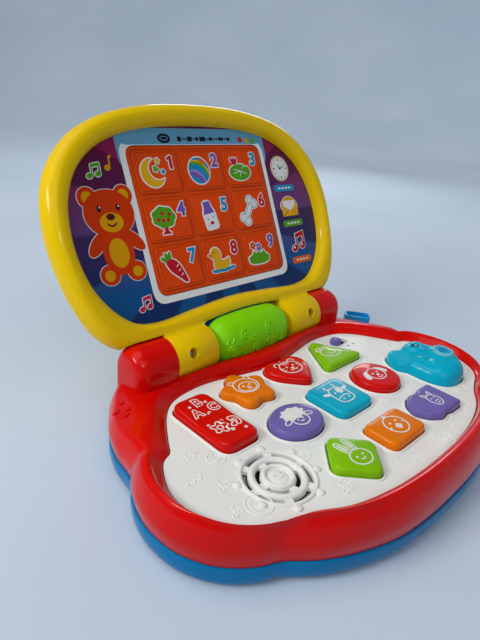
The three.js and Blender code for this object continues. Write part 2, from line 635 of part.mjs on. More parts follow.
function bezel() {
  const crest = BEZEL_CREST;
  const frame = ring([
    [fromScreen(0), SCREEN_FACE + 0.3], [fromScreen(1.0), 1.0],
    [fromScreen(2.6), 3.8], [fromScreen(5.6), crest],
    [fromEdge(6.0), crest - 0.2], [fromEdge(2.6), 3.0], [fromEdge(0.5), 0.2], [fromEdge(0), LID_PARTING],
    [fromEdge(2.2), LID_PARTING], [fromEdge(2.6), -0.4], [fromEdge(6.0), crest - 2.4],
    [fromScreen(5.6), crest - 2.4], [fromScreen(3.0), 0.4], [fromScreen(2.2), SCREEN_FACE + 0.3],
  ]);
  const bosses = LID_SCREWS.map(([x, v]) => rodZ(3.2, LID_PARTING, 3.2, 8).translate([x, v, 0]));
  const body = join(frame, ...bosses);
  const clear = cut(body, towerSpace(-1), towerSpace(1), hingeCore());
  const holes = LID_SCREWS.map(([x, v]) => rodZ(1.8, -10, 2.0, 8).translate([x, v, 0]));
  const whole = join(clear, barrel(-1), barrel(1));
  return cut(whole, rollerSpace(), barrelScrewHole(-1), barrelScrewHole(1), ...holes);
}

/** Plain cylinder about the hinge axis inside which only the barrels remain. */
const hingeCore = () => rodX(BARREL_RADIUS - 1.2, -BARREL_OUT, BARREL_OUT, 24);

function lidBack() {
  const top = LID_PARTING - FIT;
  const outside = stack([
    [fromEdge(17), LID_BACK], [fromEdge(8.5), -13.2], [fromEdge(3.6), -11.2], [fromEdge(0.9), -8.0],
    [fromEdge(0.1), top],
  ]);
  const hollow = stack([
    [fromEdge(12), LID_BACK + 2.2], [fromEdge(5.6), -9.8], [fromEdge(2.5), top + 1],
  ]);
  const bosses = LID_SCREWS.map(([x, v]) => rodZ(4.2, -12.4, top, 8).translate([x, v, 0]));
  const shell = join(cut(outside, hollow), ...bosses);
  const clear = rodX(BARREL_RADIUS + 0.4, -BARREL_OUT - 0.3, BARREL_OUT + 0.3, 24);
  const holes = LID_SCREWS.map(([x, v]) => screwHole(0, 0, -6, 5.2, 14).translate([x, v, LID_BACK]));
  return cut(shell, clear, towerSpace(-1), towerSpace(1), rollerSpace(), ...holes);
}

const WINDOWS = { width: 118, height: 95, v: 85.4, radius: 7.5 };

function screenPanel() {
  const opening = moved(oblong(WINDOWS.width + 0.7, WINDOWS.height + 0.7, WINDOWS.radius, 4), 0, WINDOWS.v);
  return prism(fromScreen(1.6), SCREEN_FACE - 1.5, SCREEN_FACE, [opening]);
}

/** Translucent plate with three rows of three raised windows. */
function windowGrid() {
  const plate = moved(oblong(WINDOWS.width, WINDOWS.height, WINDOWS.radius, 4), 0, WINDOWS.v);
  const cells = [-1, 0, 1].flatMap((col) => [-1, 0, 1].map((row) => {
    const cell = oblong(34.5, 27.6, 3, 1);
    return prism(moved(cell, col * 38.4, WINDOWS.v + row * 31), SCREEN_FACE - 1, SCREEN_FACE + 0.6);
  }));
  return join(prism(plate, SCREEN_FACE - 2.2, SCREEN_FACE), ...cells);
}

function lidBoard() {
  return prism(moved(oblong(112, 88, 3, 1), 0, WINDOWS.v), -10.2, -8.8);
}

/** Round light-emitting diode standing on the lid board. */
function diode(x, v) {
  const profile = [[0, -8.4], [2.4, -8.4], [2.4, -7.0], [1.4, -6.2], [0, -6.0]];
  return turnedZ(profile, 8).translate([x, v, 0]);
}

function rollerHalf(side) {
  const stations = [-36, -34.5, -26, -13, 0, 13, 26, 34.5, 36];
  const skinRadius = (x) => rollerRadius(x) - (Math.abs(x) === ROLLER_HALF ? 1.6 : 0);
  const outer = stations.map((x) => [skinRadius(x), x]);
  const drum = turnedX([[0, -ROLLER_HALF], ...outer, [0, ROLLER_HALF]], 20);
  const core = turnedX([[0, -33.6], [12.2, -33.6], [14.4, 0], [12.2, 33.6], [0, 33.6]], 16);
  const hub = rodX(AXLE_RADIUS + 1.9, -34, 34, 12);
  const bore = rodX(AXLE_RADIUS + FIT, -40, 40, 12);
  const keep = side > 0 ? block(-40, 40, -20, 20, 0.2, 20) : block(-40, 40, -20, 20, -20, -0.2);
  return cut(join(cut(drum, core), hub), bore).intersect(keep);
}

// ---------------------------------------------------------------- putting it together

piece(base, 'bottom_shell', bottomShell(), 'blue', 0.3);
piece(base, 'top_shell', topShell(), 'red', 0.22);
piece(base, 'keyboard_panel', panel(), 'white', 0.45);
KEYS.forEach(([name, x, y, colour, outline]) => {
  piece(base, name, cap(outline, BUTTON_TOP).translate([x, y, 0]), colour, 0.25);
});
piece(base, 'mode_rocker', rocker(), 'red', 0.25);
piece(base, 'mouse_button', mouse(), 'cyan', 0.25);
piece(base, 'power_slider', slider(), 'purple', 0.35);

piece(base, 'keypad_membrane', membrane(), 'rubber', 0.8);
piece(base, 'main_board', mainBoard(), 'board', 0.5);
piece(base, 'speaker_basket', speakerBasket(), 'steel', 0.4, 0.8);
piece(base, 'speaker_cone', speakerCone(), 'cone', 0.9);
piece(base, 'battery_1', battery(CELL_Y[0], 1), 'black', 0.4, 0.3);
piece(base, 'battery_2', battery(CELL_Y[1], -1), 'black', 0.4, 0.3);
piece(base, 'battery_contact_flat', flatContact(), 'steel', 0.3, 0.9);
piece(base, 'battery_contact_spring', springContact(), 'steel', 0.3, 0.9);
piece(base, 'battery_contact_bridge', bridgeContact(), 'steel', 0.3, 0.9);
piece(base, 'battery_door', batteryDoor(), 'blue', 0.35);
piece(base, 'battery_door_screw', screw(...DOOR_SCREW, 1.2, 8, 2.5, 1.2), 'steel', 0.35, 0.9);
FEET.forEach(([x, y], i) => {
  piece(base, `foot_${i + 1}`, rodZ(FOOT_RADIUS, 0, 1.6, 16).translate([x, y, 0]), 'rubber', 0.9);
});
CASE_SCREWS.forEach(([x, y], i) => {
  piece(base, `case_screw_${i + 1}`, screw(x, y, 6.3, 17), 'steel', 0.35, 0.9);
});
[-1, 1].forEach((side) => {
  const pin = rodX(PIN_RADIUS, BARREL_OUT - 4.5, 84).scale([side, 1, 1]).translate([0, HINGE_Y, HINGE_Z]);
  piece(base, side < 0 ? 'hinge_pin_left' : 'hinge_pin_right', pin, 'steel', 0.3, 0.9);
});

piece(lid, 'lid_bezel', bezel(), 'yellow', 0.3);
piece(lid, 'lid_back', lidBack(), 'yellow', 0.35);
piece(lid, 'screen_panel', screenPanel(), 'screen', 0.3);
piece(lid, 'window_grid', windowGrid(), 'windows', 0.35);
piece(lid, 'lid_board', lidBoard(), 'board', 0.5);
[-1, 0, 1].forEach((place, i) => {
  piece(lid, `diode_${i + 1}`, diode(place * 38.4, WINDOWS.v), 'diode', 0.2);
});
LID_SCREWS.forEach(([x, v], i) => {
  const fastener = screw(0, 0, -3.6, 12).translate([x, v, LID_BACK + 7]);
  piece(lid, `lid_screw_${i + 1}`, fastener, 'steel', 0.35, 0.9);
});
[-1, 1].forEach((side) => {
  const fastener = screw(0, 0, 0, 13).rotate([180, 0, 0]).translate([side * BARREL_SCREW_X, 0, 11.6]);
  piece(lid, side < 0 ? 'barrel_screw_left' : 'barrel_screw_right', fastener, 'steel', 0.35, 0.9);
});
piece(lid, 'roller_front', rollerHalf(1), 'green', 0.25);
piece(lid, 'roller_back', rollerHalf(-1), 'blue', 0.25);
piece(lid, 'roller_axle', rodX(AXLE_RADIUS, -39.2, 39.2, 12), 'steel', 0.3, 0.9);

export default laptop;
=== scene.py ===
"""Looks of the toy laptop: detailed pieces, materials, stage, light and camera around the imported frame.

Lengths are in millimetres and turned into metres where a mesh is made. Pieces of the lid are drawn
flat, as (across, up the lid, out of its face), and carried to their place by LID_PLACE.
"""

import json
import math

import bmesh
import bpy
import numpy as np
from mathutils import Matrix, Vector
from mathutils.bvhtree import BVHTree


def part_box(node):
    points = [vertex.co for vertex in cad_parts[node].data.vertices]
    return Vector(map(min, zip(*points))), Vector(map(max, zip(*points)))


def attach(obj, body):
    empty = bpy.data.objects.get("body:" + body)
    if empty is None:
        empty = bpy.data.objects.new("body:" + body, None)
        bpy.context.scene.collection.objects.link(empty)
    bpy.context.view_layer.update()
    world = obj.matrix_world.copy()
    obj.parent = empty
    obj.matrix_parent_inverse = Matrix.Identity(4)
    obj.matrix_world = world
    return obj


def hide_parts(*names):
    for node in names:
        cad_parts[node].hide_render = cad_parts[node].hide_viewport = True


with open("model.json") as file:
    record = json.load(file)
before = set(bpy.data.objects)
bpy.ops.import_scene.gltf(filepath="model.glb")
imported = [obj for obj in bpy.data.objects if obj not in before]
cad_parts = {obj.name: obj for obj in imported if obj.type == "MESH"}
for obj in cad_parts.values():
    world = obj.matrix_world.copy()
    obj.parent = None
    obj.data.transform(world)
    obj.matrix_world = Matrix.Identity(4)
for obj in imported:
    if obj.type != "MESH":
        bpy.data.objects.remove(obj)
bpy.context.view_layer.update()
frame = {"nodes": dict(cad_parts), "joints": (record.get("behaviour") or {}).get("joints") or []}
MM = 0.001


# ---------------------------------------------------------------- sizes

def box_mm(node):
    """Lowest and highest corner of a CAD node, in millimetres."""
    low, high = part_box(node)
    return np.array(low) / MM, np.array(high) / MM


def middle(node):
    low, high = box_mm(node)
    return (low + high) / 2


HINGE = np.array(next(j for j in frame["joints"] if j["name"] == "lid_hinge")["pos_m"]) / MM
CENTRE_Y = HINGE[1] - 47.3  # the outlines below are drawn about a centre that lies here
LID_TILT = math.radians(63.5)
LID_PLACE = Matrix.Translation(Vector(HINGE * MM)) @ Matrix.Rotation(LID_TILT, 4, "X")

PANEL_TOP = box_mm("keyboard_panel")[1][2]
PANEL_LOW = box_mm("keyboard_panel")[0][2]
RIM_TOP = 38.5
PARTING_Z = box_mm("top_shell")[0][2]
SHELL_TOP = PARTING_Z - 0.35
KEY_TOP = box_mm("button_square")[1][2]
KEY_LOW = box_mm("button_square")[0][2] + 1.0
BARREL_RADIUS = 14.8  # the hinge barrels lie on both sides, between these distances from the middle
BARREL_IN = 36.6
BARREL_OUT = 69.3
BARREL_SCREW_X = 57.5
TOWER_OUT = 97.2
SCREEN_FACE = -3.4  # this and the next three are heights in the lid's own frame
LID_PARTING = -4.6
LID_BACK = -14.0
CREST = 5.0
SCREEN_MIDDLE = 82.0
RAYS = 11.0

PANEL_EDGE = [
    (0, -103.0), (30, -102.0), (53.5, -98.9), (73, -93.2), (88, -85.2), (100, -80.2), (108.5, -77.2),
    (116.5, -71.8), (122.6, -63.5), (127.2, -52.0), (128.2, -39.0), (125, -28.5), (117.6, -16.8),
    (110.8, -13.0), (106, -5.5), (99.5, 4.6), (92.0, 14.4), (81.7, 22.4), (65.6, 26.2), (49.5, 26.2),
    (28.8, 21.9), (0, 17.3),
]
OUTER_EDGE = [
    (0, -117.3), (27, -116.4), (50, -113.3), (76, -104.4), (91, -96.2), (104.5, -86.0), (114.5, -81.2),
    (124.5, -73.4), (132, -64.5), (138.2, -50.5), (139.7, -34.0), (137.2, -20.5), (132.4, -9.5),
    (128.2, -3.6), (126, 4.5), (124, 18.0), (119.6, 30.4), (112.1, 42.8), (102.5, 55.0), (86.0, 63.6),
    (55.0, 66.2), (0, 66.2),
]
FOLDS = [(104.5, -86.0), (128.2, -3.6)]
LID_EDGE = [
    (0, 13.0), (45, 12.4), (82, 11.6), (96, 13.4), (107.5, 23.0), (116, 40.0), (121.3, 62.0),
    (122.8, 84.0), (119.5, 106.0), (111, 124.0), (96, 139.5), (75, 150.5), (48, 157.2),
    (24, 159.6), (0, 160.2),
]
SCREEN_EDGE = [
    (0, 27.6), (35, 25.6), (66, 23.4), (82, 26.5), (94.5, 36.5), (103.5, 50.5), (107.6, 66.0),
    (108.4, 84.0), (105.2, 101.5), (97, 117.5), (83, 130.5), (65, 139.0), (43, 143.8),
    (21, 145.6), (0, 146.0),
]


# ---------------------------------------------------------------- curves and outlines

def catmull(points, per, closed):
    """Centripetal Catmull-Rom curve through rows of points, `per` steps to a span."""
    p = np.asarray(points, float)
    n = len(p)
    spans = n if closed else n - 1
    out = []
    for i in range(spans):
        p1, p2 = p[i], p[(i + 1) % n]
        p0 = p[i - 1] if closed or i > 0 else 2 * p1 - p2
        p3 = p[(i + 2) % n] if closed or i < spans - 1 else 2 * p2 - p1
        d = [np.maximum(np.linalg.norm(b - a, axis=-1, keepdims=True), 1e-6) ** 0.5
             for a, b in ((p0, p1), (p1, p2), (p2, p3))]
        t1 = ((p1 - p0) / d[0] - (p2 - p0) / (d[0] + d[1]) + (p2 - p1) / d[1]) * d[1]
        t2 = ((p2 - p1) / d[1] - (p3 - p1) / (d[1] + d[2]) + (p3 - p2) / d[2]) * d[1]
        for k in range(per):
            t = k / per
            out.append(p1 + t1 * t + (-3 * p1 + 3 * p2 - 2 * t1 - t2) * t * t
                       + (2 * p1 - 2 * p2 + t1 + t2) * t ** 3)
    if not closed:
        out.append(p[-1])
    return np.array(out)


def mirrored(half, per=6):
    left = [(-x, y) for x, y in half[1:-1]][::-1]
    return catmull(list(half) + left, per, True)


def two_sided(right):
    """Corners of a figure with a flat foot that is the same on both sides, from those at its right."""
    return [(-right[0][0], right[0][1])] + right + [(-x, y) for x, y in right[:0:-1]]


def rounded(corners, radius, steps=5):
    """Polygon with every corner rounded off, counter-clockwise."""
    out = []
    n = len(corners)
    for i, corner in enumerate(np.asarray(corners, float)):
        before, after = np.asarray(corners[i - 1], float), np.asarray(corners[(i + 1) % n], float)
        reach_in, reach_out = np.linalg.norm(before - corner), np.linalg.norm(after - corner)
        start = corner + (before - corner) / reach_in * min(radius, 0.48 * reach_in)
        end = corner + (after - corner) / reach_out * min(radius, 0.48 * reach_out)
        for k in range(steps + 1):
            t = k / steps
            out.append((1 - t) ** 2 * start + 2 * t * (1 - t) * corner + t * t * end)
    keep = [p for p, q in zip(out, out[-1:] + out[:-1]) if np.linalg.norm(p - q) > 0.02]
    return np.array(keep)


def oblong(w, h, r, steps=5, at=(0, 0)):
    return rounded(two_sided([(w / 2, -h / 2), (w / 2, h / 2)]), r, steps) + at


def polar(radius_at, count, squash=1.0, at=(0, 0)):
    a = np.arange(count) * 2 * math.pi / count
    r = np.array([radius_at(x) for x in a])
    return np.stack([r * np.cos(a), squash * r * np.sin(a)], 1) + at


def spin(degrees):
    """Matrix that turns rows of (x, y) counter-clockwise."""
    c, s = math.cos(math.radians(degrees)), math.sin(math.radians(degrees))
    return np.array([[c, s], [-s, c]])


def ellipse(rx, ry, count=40, at=(0, 0), turn=0.0):
    return polar(lambda a: rx, count, ry / rx) @ spin(turn) + at


def circle(r, count=40, at=(0, 0)):
    return ellipse(r, r, count, at)


def evenly(outline, step):
    """The same closed outline with points about `step` apart."""
    p = np.vstack([outline, outline[:1]])
    s = np.concatenate([[0], np.cumsum(np.linalg.norm(np.diff(p, axis=0), axis=1))])
    t = np.linspace(0, s[-1], max(8, int(round(s[-1] / step))) + 1)[:-1]
    return np.stack([np.interp(t, s, p[:, k]) for k in range(p.shape[1])], 1)


def star(mean, swing, count, step, at=(0, 0)):
    """Outline of a soft star with five points."""
    return evenly(polar(lambda a: mean + swing * math.cos(5 * a), count, at=at), step)


def grown(outline, distance):
    """An outline moved out along its own normals."""
    along = np.roll(outline, -1, 0) - np.roll(outline, 1, 0)
    along /= np.maximum(np.linalg.norm(along, axis=1, keepdims=True), 1e-9)
    return outline + np.stack([along[:, 1], -along[:, 0]], 1) * distance


def between(inner, outer, distance):
    """Points a distance along the way from one outline to its match."""
    across = outer - inner
    return inner + across / np.linalg.norm(across, axis=1, keepdims=True) * distance


def ring_at(outline, z):
    return np.column_stack([outline, np.full(len(outline), float(z))])


# ---------------------------------------------------------------- meshes

def new_object(name, data):
    obj = bpy.data.objects.new(name, data)
    bpy.context.scene.collection.objects.link(obj)
    return obj


LID_PIECES = []  # drawn in the plane of the lid, and laid into the frame at the end


def rod(radius, low, high):
    """Profile of a plain cylinder, for Shape.turned."""
    return [(0, low), (radius, low), (radius, high), (0, high)]


class Shape:
    """Vertices and faces being gathered for one piece, each face with a material number."""

    def __init__(self):
        self.verts, self.faces, self.mats = [], [], []

    def add(self, verts, faces, mat=0):
        first = len(self.verts)
        self.verts.extend(np.asarray(verts, float).tolist())
        self.faces.extend([first + i for i in f] for f in faces)
        self.mats.extend([mat] * len(faces))
        return self

    def loft(self, rings, loop=False, mat=0, hub=None):
        """Joins rings of equal length: capped, or turned back into itself. hub is the last cap's middle."""
        n = len(rings[0])
        faces = []
        for r in range(len(rings) if loop else len(rings) - 1):
            a, b = r * n, (r + 1) % len(rings) * n
            faces += [(a + i, a + (i + 1) % n, b + (i + 1) % n, b + i) for i in range(n)]
        verts = np.vstack(rings)
        if not loop:
            faces.append(tuple(range(n))[::-1])
            top = (len(rings) - 1) * n
            if hub is None:
                faces.append(tuple(range(top, top + n)))
            else:
                verts = np.vstack([verts, [hub]])
                faces += [(top + i, top + (i + 1) % n, len(verts) - 1) for i in range(n)]
        return self.add(verts, faces, mat)

    def prism(self, outline, low, high, mat=0):
        return self.loft([ring_at(outline, low), ring_at(outline, high)], mat=mat)

    def turned(self, profile, axis="z", at=(0, 0, 0), segments=48):
        """Turned solid from (radius, along) points, whose first and last are on the axis."""
        a = np.arange(segments) * 2 * math.pi / segments
        rings = []
        for r, h in profile[1:-1]:
            c, s, k = r * np.cos(a), r * np.sin(a), np.full(segments, float(h))
            rings.append(np.column_stack([c, s, k] if axis == "z" else [k, c, s]) + at)
        n = segments
        ends = [np.array([0, 0, h] if axis == "z" else [h, 0, 0], float) + at
                for h in (profile[0][1], profile[-1][1])]
        verts = np.vstack(rings + [[ends[0]], [ends[1]]])
        faces = []
        for r in range(len(rings) - 1):
            faces += [(r * n + i, r * n + (i + 1) % n, (r + 1) * n + (i + 1) % n, (r + 1) * n + i)
                      for i in range(n)]
        low, high, top = len(verts) - 2, len(verts) - 1, (len(rings) - 1) * n
        faces += [((i + 1) % n, i, low) for i in range(n)]
        faces += [(top + i, top + (i + 1) % n, high) for i in range(n)]
        return self.add(verts, faces)

    def strip(self, path, section, place, closed=False):
        """A section of (across, up) points swept along a flat path, set on a surface by place()."""
        p = np.asarray(path, float)
        if closed:
            along = np.roll(p, -1, 0) - np.roll(p, 1, 0)
        else:
            along = np.gradient(p, axis=0)
        along /= np.maximum(np.linalg.norm(along, axis=1, keepdims=True), 1e-9)
        side = np.stack([along[:, 1], -along[:, 0]], 1)
        rings = [np.array([place(*(q + n * a), h) for a, h in section]) for q, n in zip(p, side)]
        return self.loft(rings[::-1], loop=closed)

    def patch(self, outline, low, high, place, mat=0):
        """A flat shape with thickness, set on a surface by place()."""
        rings = [np.array([place(x, y, h) for x, y in outline]) for h in (low, high)]
        return self.loft(rings, mat=mat)

    def make(self, name, materials, body=None, slot=None, replaces=(), lid=False, sharp=38):
        mesh = bpy.data.meshes.new(name)
        mesh.from_pydata([[c * MM for c in v] for v in self.verts], [], self.faces)
        mesh.polygons.foreach_set("material_index", self.mats)
        for m in materials if isinstance(materials, (list, tuple)) else [materials]:
            mesh.materials.append(m)
        obj = new_object(name, mesh)
        finish_mesh(mesh, sharp)
        if lid:
            obj.matrix_world = LID_PLACE
            LID_PIECES.append(obj)
        if body:
            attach(obj, body)
        if replaces:
            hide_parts(*replaces)
        return obj


def finish_mesh(mesh, sharp=38):
    """Outward normals, smooth shading with the edges above an angle kept sharp."""
    bm = bmesh.new()
    bm.from_mesh(mesh)
    bmesh.ops.recalc_face_normals(bm, faces=bm.faces)
    bm.to_mesh(mesh)
    bm.free()
    mesh.shade_smooth()
    mesh.set_sharp_from_angle(angle=math.radians(sharp))
    mesh.update()


def combine(obj, tools, operation="DIFFERENCE", sharp=38):
    """Boolean of a piece with plain shapes, which are used up."""
    made = []
    for tool in tools:
        t = tool if isinstance(tool, bpy.types.Object) else tool.make("tool", [])
        t.matrix_world = obj.matrix_world
        mod = obj.modifiers.new("cut", "BOOLEAN")
        mod.object, mod.operation, mod.solver = t, operation, "MANIFOLD"
        made.append(t)
    graph = bpy.context.evaluated_depsgraph_get()
    graph.update()
    mesh = bpy.data.meshes.new_from_object(obj.evaluated_get(graph))
    obj.modifiers.clear()
    old, name = obj.data, obj.data.name
    obj.data = mesh
    bpy.data.meshes.remove(old)
    mesh.name = name
    for t in made:
        bpy.data.objects.remove(t)
    finish_mesh(mesh, sharp)
    return obj


# ---------------------------------------------------------------- materials

def shader(name):
    """A new material, its node tree, surface shader and object coordinates."""
    m = bpy.data.materials.new(name)
    m.use_nodes = True
    net = m.node_tree
    return m, net, net.nodes["Principled BSDF"], net.nodes.new("ShaderNodeTexCoord").outputs["Object"]


def fixed(node, values):
    """Sets inputs of a node by name."""
    for key, value in values.items():
        node.inputs[key].default_value = value


def noise(net, coords, scale, detail=3.0):
    n = net.nodes.new("ShaderNodeTexNoise")
    fixed(n, {"Scale": scale, "Detail": detail})
    net.links.new(coords, n.inputs["Vector"])
    return n.outputs["Fac"]


def spread(net, value, low, high, start=0.3, end=0.7):
    """The value's range from start to end, laid out between low and high."""
    n = net.nodes.new("ShaderNodeMapRange")
    fixed(n, {"From Min": start, "From Max": end, "To Min": low, "To Max": high})
    net.links.new(value, n.inputs["Value"])
    return n.outputs["Result"]


def tint(net, factor, one, two):
    """A colour between two, each a colour or an output."""
    n = net.nodes.new("ShaderNodeMix")
    n.data_type = "RGBA"
    net.links.new(factor, n.inputs["Factor"])
    for key, v in (("A", one), ("B", two)):
        socket = [s for s in n.inputs if s.name == key and s.type == "RGBA"][0]
        if isinstance(v, bpy.types.NodeSocket):
            net.links.new(v, socket)
        else:
            socket.default_value = (*v, 1)
    return [s for s in n.outputs if s.type == "RGBA"][0]


def bump(net, bsdf, height, strength, distance):
    n = net.nodes.new("ShaderNodeBump")
    fixed(n, {"Strength": strength, "Distance": distance})
    net.links.new(height, n.inputs["Height"])
    net.links.new(n.outputs["Normal"], bsdf.inputs["Normal"])


def plastic(name, colour, rough=0.26, coat=0.35, grain=0.05, depth=0.86):
    """Moulded plastic: slow drift in tone, faint smears in the gloss and a fine mould texture."""
    m, net, bsdf, coords = shader(name)
    drift = spread(net, noise(net, coords, 22.0), 0.0, 1.0)
    deep = tuple(c * depth for c in colour)
    net.links.new(tint(net, drift, deep, colour), bsdf.inputs["Base Color"])
    smears = spread(net, noise(net, coords, 75.0, 6.0), rough - 0.05, rough + 0.07)
    net.links.new(smears, bsdf.inputs["Roughness"])
    fixed(bsdf, {"Coat Weight": coat, "Coat IOR": 1.31, "Coat Roughness": 0.05, "IOR": 1.45,
                 "Specular IOR Level": 0.1})
    bump(net, bsdf, noise(net, coords, 900.0, 2.0), grain, 0.0004)
    return m


def metal(name, colour):
    """Plated steel with fine scratches."""
    m, net, bsdf, coords = shader(name)
    scratch = noise(net, coords, 1400.0, 4.0)
    net.links.new(tint(net, scratch, tuple(c * 0.7 for c in colour), colour), bsdf.inputs["Base Color"])
    net.links.new(spread(net, scratch, 0.22, 0.42), bsdf.inputs["Roughness"])
    fixed(bsdf, {"Metallic": 1.0})
    bump(net, bsdf, scratch, 0.15, 0.0002)
    return m


def matt(name, colour, rough=0.75, scale=400.0, relief=0.25):
    """Rubber, paper or lacquer: a dull surface with a visible tooth."""
    m, net, bsdf, coords = shader(name)
    tooth = noise(net, coords, scale, 5.0)
    net.links.new(tint(net, tooth, tuple(c * 0.75 for c in colour), colour), bsdf.inputs["Base Color"])
    net.links.new(spread(net, tooth, rough - 0.1, rough + 0.1), bsdf.inputs["Roughness"])
    bump(net, bsdf, tooth, relief, 0.0004)
    return m


def sunburst(name):
    """Printed card: violet at the top to blue at the bottom, with broad rays from the middle."""
    m, net, bsdf, coords = shader(name)
    split = net.nodes.new("ShaderNodeSeparateXYZ")
    net.links.new(coords, split.inputs["Vector"])
    x = split.outputs["X"]
    along = net.nodes.new("ShaderNodeVectorMath")
    along.operation = "DOT_PRODUCT"
    net.links.new(coords, along.inputs[0])
    along.inputs[1].default_value = LID_PLACE.col[1].to_3d()

    def calc(operation, a, b=None):
        n = net.nodes.new("ShaderNodeMath")
        n.operation = operation
        for socket, value in zip(n.inputs, (a, b)):
            if isinstance(value, bpy.types.NodeSocket):
                net.links.new(value, socket)
            elif value is not None:
                socket.default_value = value
        return n.outputs["Value"]

    v = calc("SUBTRACT", along.outputs["Value"], LID_PLACE.translation.dot(LID_PLACE.col[1].to_3d()))
    angle = calc("ARCTAN2", calc("SUBTRACT", v, SCREEN_MIDDLE * MM), x)
    waves = calc("SINE", calc("MULTIPLY", angle, RAYS))
    ray = spread(net, waves, 0.0, 1.0, -0.12, 0.12)
    up = spread(net, v, 0.0, 1.0, 0.045, 0.125)
    dark = tint(net, up, PRINT["navy"], PRINT["plum"])
    bright = tint(net, up, PRINT["deep_blue"], PRINT["violet"])
    faded = calc("MULTIPLY", ray, 0.85)
    net.links.new(tint(net, faded, dark, bright), bsdf.inputs["Base Color"])
    net.links.new(spread(net, noise(net, coords, 60.0, 5.0), 0.3, 0.42), bsdf.inputs["Roughness"])
    fixed(bsdf, {"Specular IOR Level": 0.22, "Coat Weight": 0.3, "Coat IOR": 1.3, "Coat Roughness": 0.12})
    bump(net, bsdf, noise(net, coords, 700.0), 0.04, 0.0003)
    return m


RED = (0.68, 0.002, 0.0)
BLUE = (0.0, 0.18, 0.42)
WHITE = (0.81, 0.82, 0.78)
YELLOW = (0.86, 0.56, 0.0)
GREEN = (0.23, 0.55, 0.0)
CYAN = (0.0, 0.42, 0.60)
PURPLE = (0.17, 0.13, 0.42)
ORANGE = (0.86, 0.20, 0.0)
WINDOW = (0.82, 0.07, 0.0)
PRINT = {
    "navy": (0.0, 0.022, 0.13), "deep_blue": (0.0, 0.085, 0.28), "plum": (0.11, 0.001, 0.04),
    "violet": (0.27, 0.004, 0.085), "white": (0.82, 0.81, 0.78), "cream": (0.86, 0.86, 0.84),
    "sky": (0.13, 0.36, 0.54), "red": (0.55, 0.008, 0.02), "yellow": (0.80, 0.42, 0.01),
    "green": (0.10, 0.36, 0.01), "blue": (0.01, 0.28, 0.55), "purple": (0.17, 0.10, 0.46),
    "orange": (0.80, 0.13, 0.004), "brown": (0.09, 0.012, 0.006), "black": (0.008, 0.01, 0.02),
    "rust": (0.64, 0.038, 0.0), "gold": (0.72, 0.33, 0.0), "pink": (0.6, 0.015, 0.09),
    "lilac": (0.42, 0.22, 0.55),
}

M = {
    "red": plastic("red_plastic", RED, 0.22, 0.5),
    "blue": plastic("blue_plastic", BLUE, 0.26, 0.3),
    # a brighter copy of the blue plastic for the strap loop: painted light
    "loop": plastic("blue_plastic_thin", tuple(0.012 + 1.8 * c for c in BLUE), 0.26, 0.4),
    "white": plastic("white_plastic", WHITE, 0.42, 0.1, 0.1, 0.95),
    "yellow": plastic("yellow_plastic", YELLOW, 0.28, 0.35, 0.05, 0.93),
    "green": plastic("green_plastic", GREEN, 0.24, 0.4),
    # a brighter copy of the green plastic for the roller's front half: painted light, standing in for light
    # the drum doesn't get
    "drum": plastic("drum_plastic", (0.24, 0.74, 0.0), 0.24, 0.4),
    "cyan": plastic("cyan_plastic", CYAN, 0.24, 0.4),
    "purple": plastic("purple_plastic", PURPLE, 0.26, 0.4),
    "orange": plastic("orange_plastic", ORANGE, 0.25, 0.4),
    "window": plastic("window_plastic", WINDOW, 0.3, 0.35, 0.08),
    # a darker copy of the window plastic: painted shade for the dark lines round each window's foot and just
    # inside its top edge
    "shade": plastic("window_shade", tuple(0.66 * c for c in WINDOW), 0.4, 0.2),
    "card": sunburst("printed_card"),
    "ear": plastic("ear_plastic", (0.16, 0.52, 0.66), 0.3, 0.3),
    "line": plastic("line_print", (0.78, 0.78, 0.74), 0.4, 0.0, 0.03, 0.94),
    "steel": metal("steel", (0.58, 0.57, 0.55)),
    "rubber": matt("foot_rubber", (0.10, 0.10, 0.10)),
    "silicone": matt("silicone", (0.42, 0.42, 0.40), 0.65, 250.0, 0.1),
    "board": matt("circuit_board", (0.02, 0.16, 0.06), 0.45, 120.0, 0.05),
    "jacket": matt("cell_jacket", (0.035, 0.035, 0.04), 0.4, 90.0, 0.05),
    "cone": matt("cone_paper", (0.05, 0.042, 0.036), 0.85, 600.0, 0.5),
    "resin": plastic("diode_resin", (0.80, 0.78, 0.66), 0.12, 0.2, 0.01, 0.97),
}
PRINT_NAMES = sorted(PRINT)
PRINTS = [plastic("print_" + n, PRINT[n], 0.34, 0.2, 0.03, 0.93) for n in PRINT_NAMES]
INK = {n: i for i, n in enumerate(PRINT_NAMES)}

CAD_FINISH = {
    "silicone": ["keypad_membrane"], "board": ["main_board", "lid_board"],
    "cone": ["speaker_cone"], "jacket": ["battery_1", "battery_2"],
    "steel": ["speaker_basket", "battery_contact_flat", "battery_contact_spring",
              "battery_contact_bridge", "hinge_pin_left", "hinge_pin_right", "roller_axle"],
    "resin": ["diode_1", "diode_2", "diode_3"],
}
for finish, nodes_of_it in CAD_FINISH.items():
    for node in nodes_of_it:
        frame["nodes"][node].data.materials.clear()
        frame["nodes"][node].data.materials.append(M[finish])


# ---------------------------------------------------------------- base: shells

panel_edge = mirrored(PANEL_EDGE)
outer_edge = mirrored(OUTER_EDGE)
outer_edge[:, 0] = np.clip(outer_edge[:, 0], -box_mm("top_shell")[1][0], box_mm("top_shell")[1][0])
lid_edge = mirrored(LID_EDGE)
screen_edge = mirrored(SCREEN_EDGE)
SHIFT = np.array([0, CENTRE_Y, 0])


def fold(reach):
    """How close each point of the outline is to a fold between two lobes: 1 there, falling to 0."""
    nearest = np.min([np.hypot(abs(outer_edge[:, 0]) - x, outer_edge[:, 1] - y) for x, y in FOLDS], axis=0)
    return np.exp(-nearest / reach)[:, None]


def inset(distance):
    """The outline of the base, drawn in towards the panel."""
    return between(outer_edge, panel_edge, distance)


